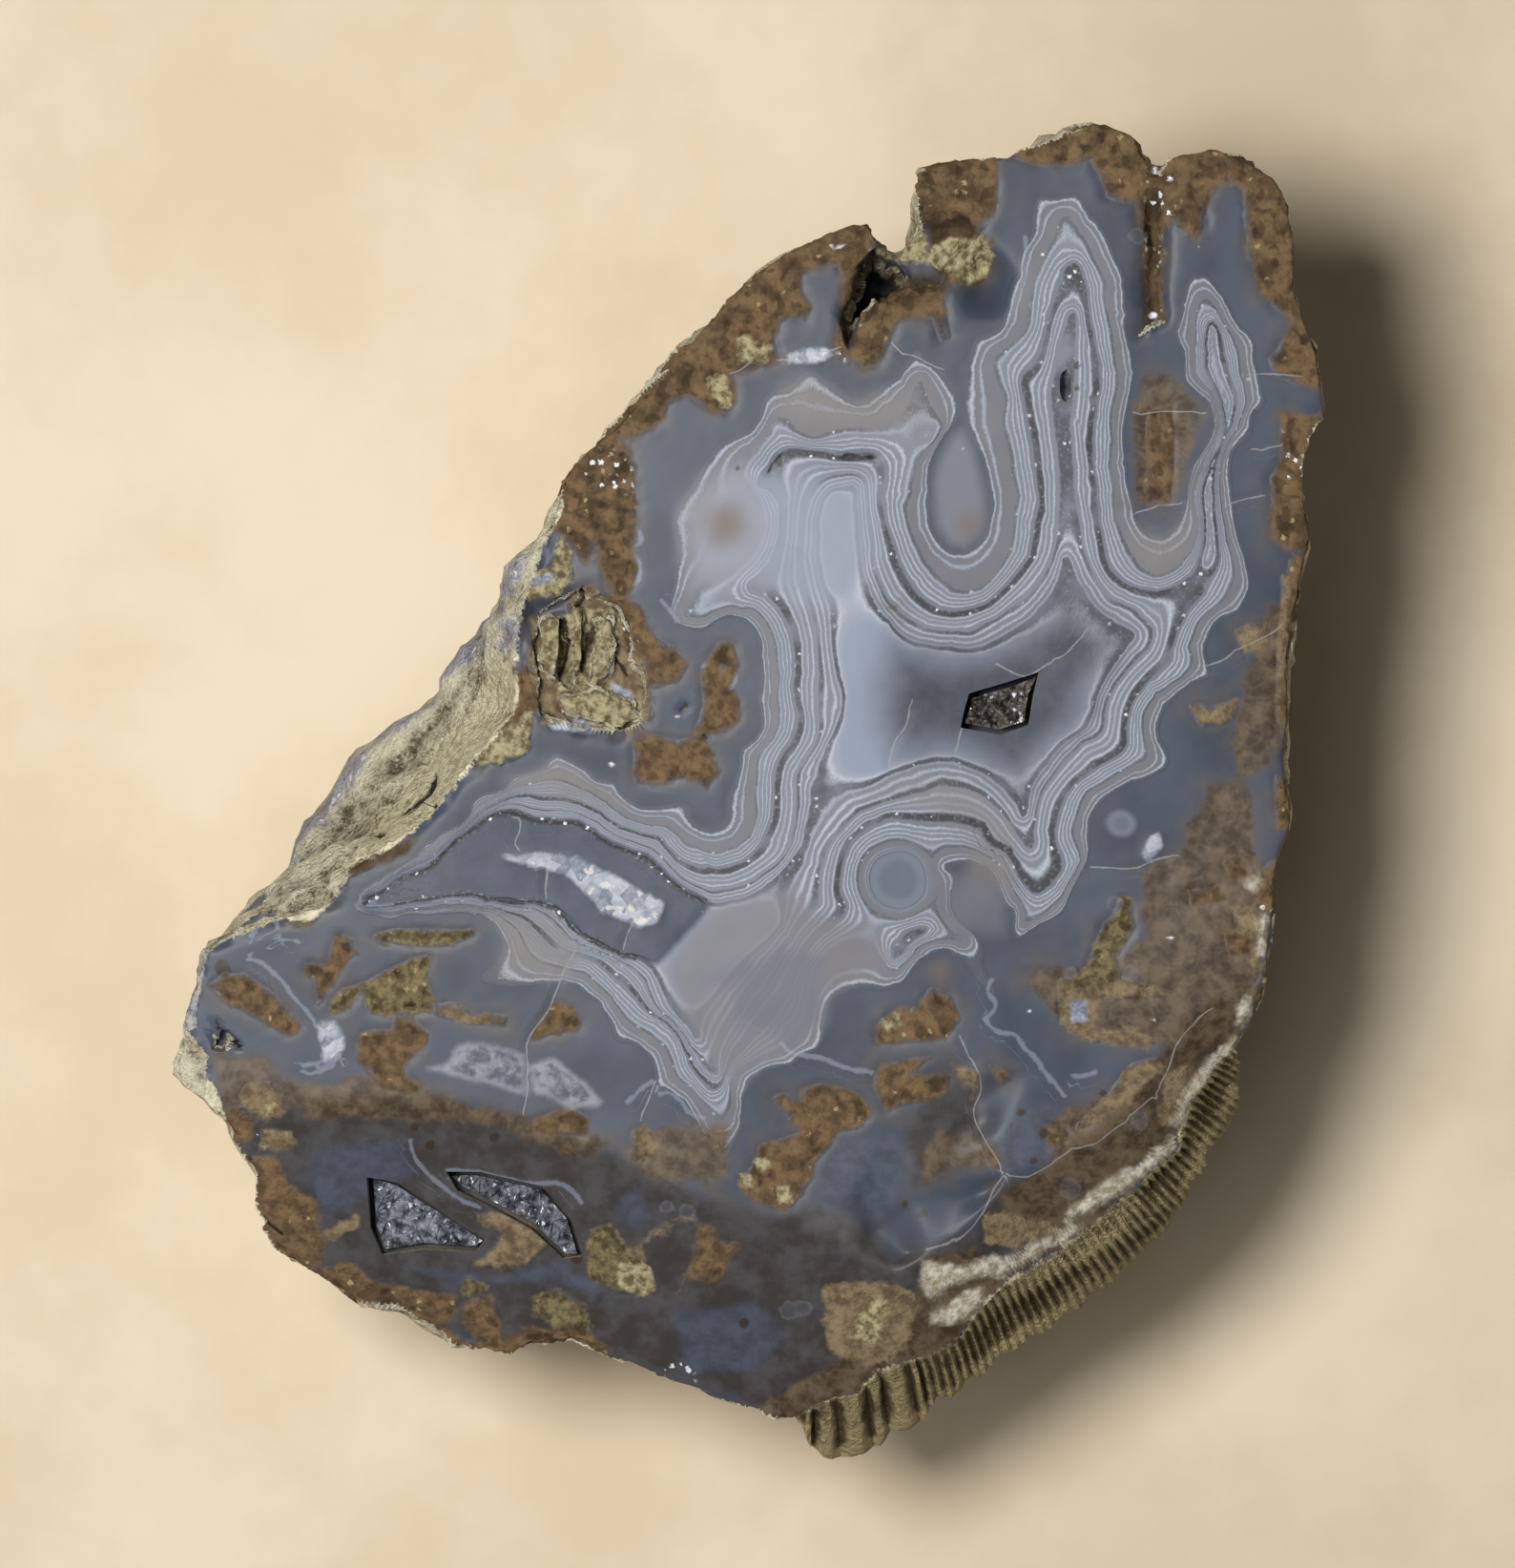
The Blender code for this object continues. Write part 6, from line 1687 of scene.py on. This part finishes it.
    # painted glints in the sparkle areas
    sparkle = fade(tree, attribute(tree, "sparkle"), -0.3, 0.3)
    paintedGlints = calc(tree, "MULTIPLY", glintShare(tree, place, 0.55, 0.45), sparkle)
    colour = painted(tree, paintedGlints, colour, shades["sparkle"])
    skin = addNode(tree, "ShaderNodeGroup", {"node_tree": groups["rind"]})
    skinDepth = calc(tree, "MAXIMUM", attribute(tree, "rind"), attribute(tree, "ribs"))
    edge = edgeShare(tree, fields[1], skinDepth, 0.2, 0.1)
    colour = mixColour(tree, edge, colour, skin.outputs["Colour"])
    feed(tree, shader.inputs["Base Color"], colour)
    covered = calc(tree, "MAXIMUM", covered, edge)
    shader.inputs["Specular IOR Level"].default_value = 0.2
    roughness = addNode(tree, "ShaderNodeMapRange", Value=covered, To_Min=0.4, To_Max=0.8).outputs["Result"]
    feed(tree, shader.inputs["Roughness"], roughness)
    crumbly = scaled(tree, fade(tree, attribute(tree, "crumbly"), -0.2, 0.3), 0.3)
    gritty = calc(tree, "MULTIPLY", grain(tree, place, 0.45, 3.0, 0.65), crumbly)
    height = calc(tree, "ADD", scaled(tree, lineHeight, 0.22), gritty)
    feed(tree, shader.inputs["Normal"], bumpFrom(tree, height, 0.6))
    return material


def oliveRind():
    material, tree, shader = newMaterial("oliveRind")
    skin = addNode(tree, "ShaderNodeGroup", {"node_tree": groups["rind"]})
    feed(tree, shader.inputs["Base Color"], skin.outputs["Colour"])
    shader.inputs["Roughness"].default_value = 0.72
    shader.inputs["Specular IOR Level"].default_value = 0.3
    feed(tree, shader.inputs["Normal"], bumpFrom(tree, skin.outputs["Height"], 0.9, 0.9))
    return material


def crystalQuartz(kind):
    material, tree, shader = newMaterial(kind["piece"] + "Quartz")
    place = placeInMillimetres(tree)
    mottle = fade(tree, grain(tree, place, 0.8, 4.0, 0.65), 0.35, 0.62)
    colour = between(tree, mottle, kind["dark"], kind["light"])
    colour = painted(tree, glintShare(tree, place, 0.5, kind["glints"]), colour, shades["sparkle"])
    feed(tree, shader.inputs["Base Color"], colour)
    shader.inputs["Roughness"].default_value = 0.14
    return material


def areaLight(name, place, size, power):
    bpy.ops.object.light_add(type="AREA", location=Vector(place) * mm)
    lamp = bpy.context.object
    lamp.name = name
    lamp.data.shape = "DISK"
    lamp.data.size = size * mm
    lamp.data.energy = power
    away = lamp.location - Vector(light["aim"]) * mm
    lamp.rotation_euler = away.to_track_quat("Z", "Y").to_euler()


def setStage():
    bpy.ops.mesh.primitive_plane_add(size=light["floorSize"] * mm)
    floor = bpy.context.object
    floor.name = "floor"
    material, tree, shader = newMaterial("paleFloor")
    weave = grain(tree, placeInMillimetres(tree), 34.0, 5.0, 0.6)
    floorTone = between(tree, fade(tree, weave, 0.36, 0.62), light["floorColour"], light["floorLight"])
    feed(tree, shader.inputs["Base Color"], floorTone)
    shader.inputs["Roughness"].default_value = 0.9
    floor.data.materials.append(material)
    areaLight("keyLight", light["keyFrom"], light["keySize"], light["keyPower"])
    areaLight("fillLight", light["fillFrom"], light["fillSize"], light["fillPower"])
    world = bpy.data.worlds.new("softSky")
    bpy.context.scene.world = world
    world.use_nodes = True
    sky = world.node_tree.nodes["Background"]
    sky.inputs["Color"].default_value = (*light["skyColour"], 1.0)
    sky.inputs["Strength"].default_value = light["skyPower"]
    bpy.context.scene.view_settings.view_transform = "Standard"


def setCamera():
    data = bpy.data.cameras.new("camera")
    data.sensor_width = camera["sensor"]
    data.lens = camera["sensor"] * camera["distance"] / camera["photoHeight"]
    eye = bpy.data.objects.new("camera", data)
    middle = camera["photoMiddle"]
    eye.location = Vector((middle[0], middle[1], camera["faceHeight"] + camera["distance"])) * mm
    bpy.context.scene.collection.objects.link(eye)
    bpy.context.scene.camera = eye


setStage()
setCamera()
print("stage and camera are set")

sheet = solveBands()
print("band levels are solved", sheet.min(), sheet.max())

groups = {"glints": glintGroup()}
groups["rind"] = rindGroup(glintShare)
agateStone = buildStone()
dressStone(agateStone, sheet)
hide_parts("agate_nodule")
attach(agateStone, "root")
print("the stone is dressed")

for nodeName, kind in crusts.items():
    crust = buildCrust(nodeName, kind)
    print(kind["piece"], len(crust.data.polygons), "faces")
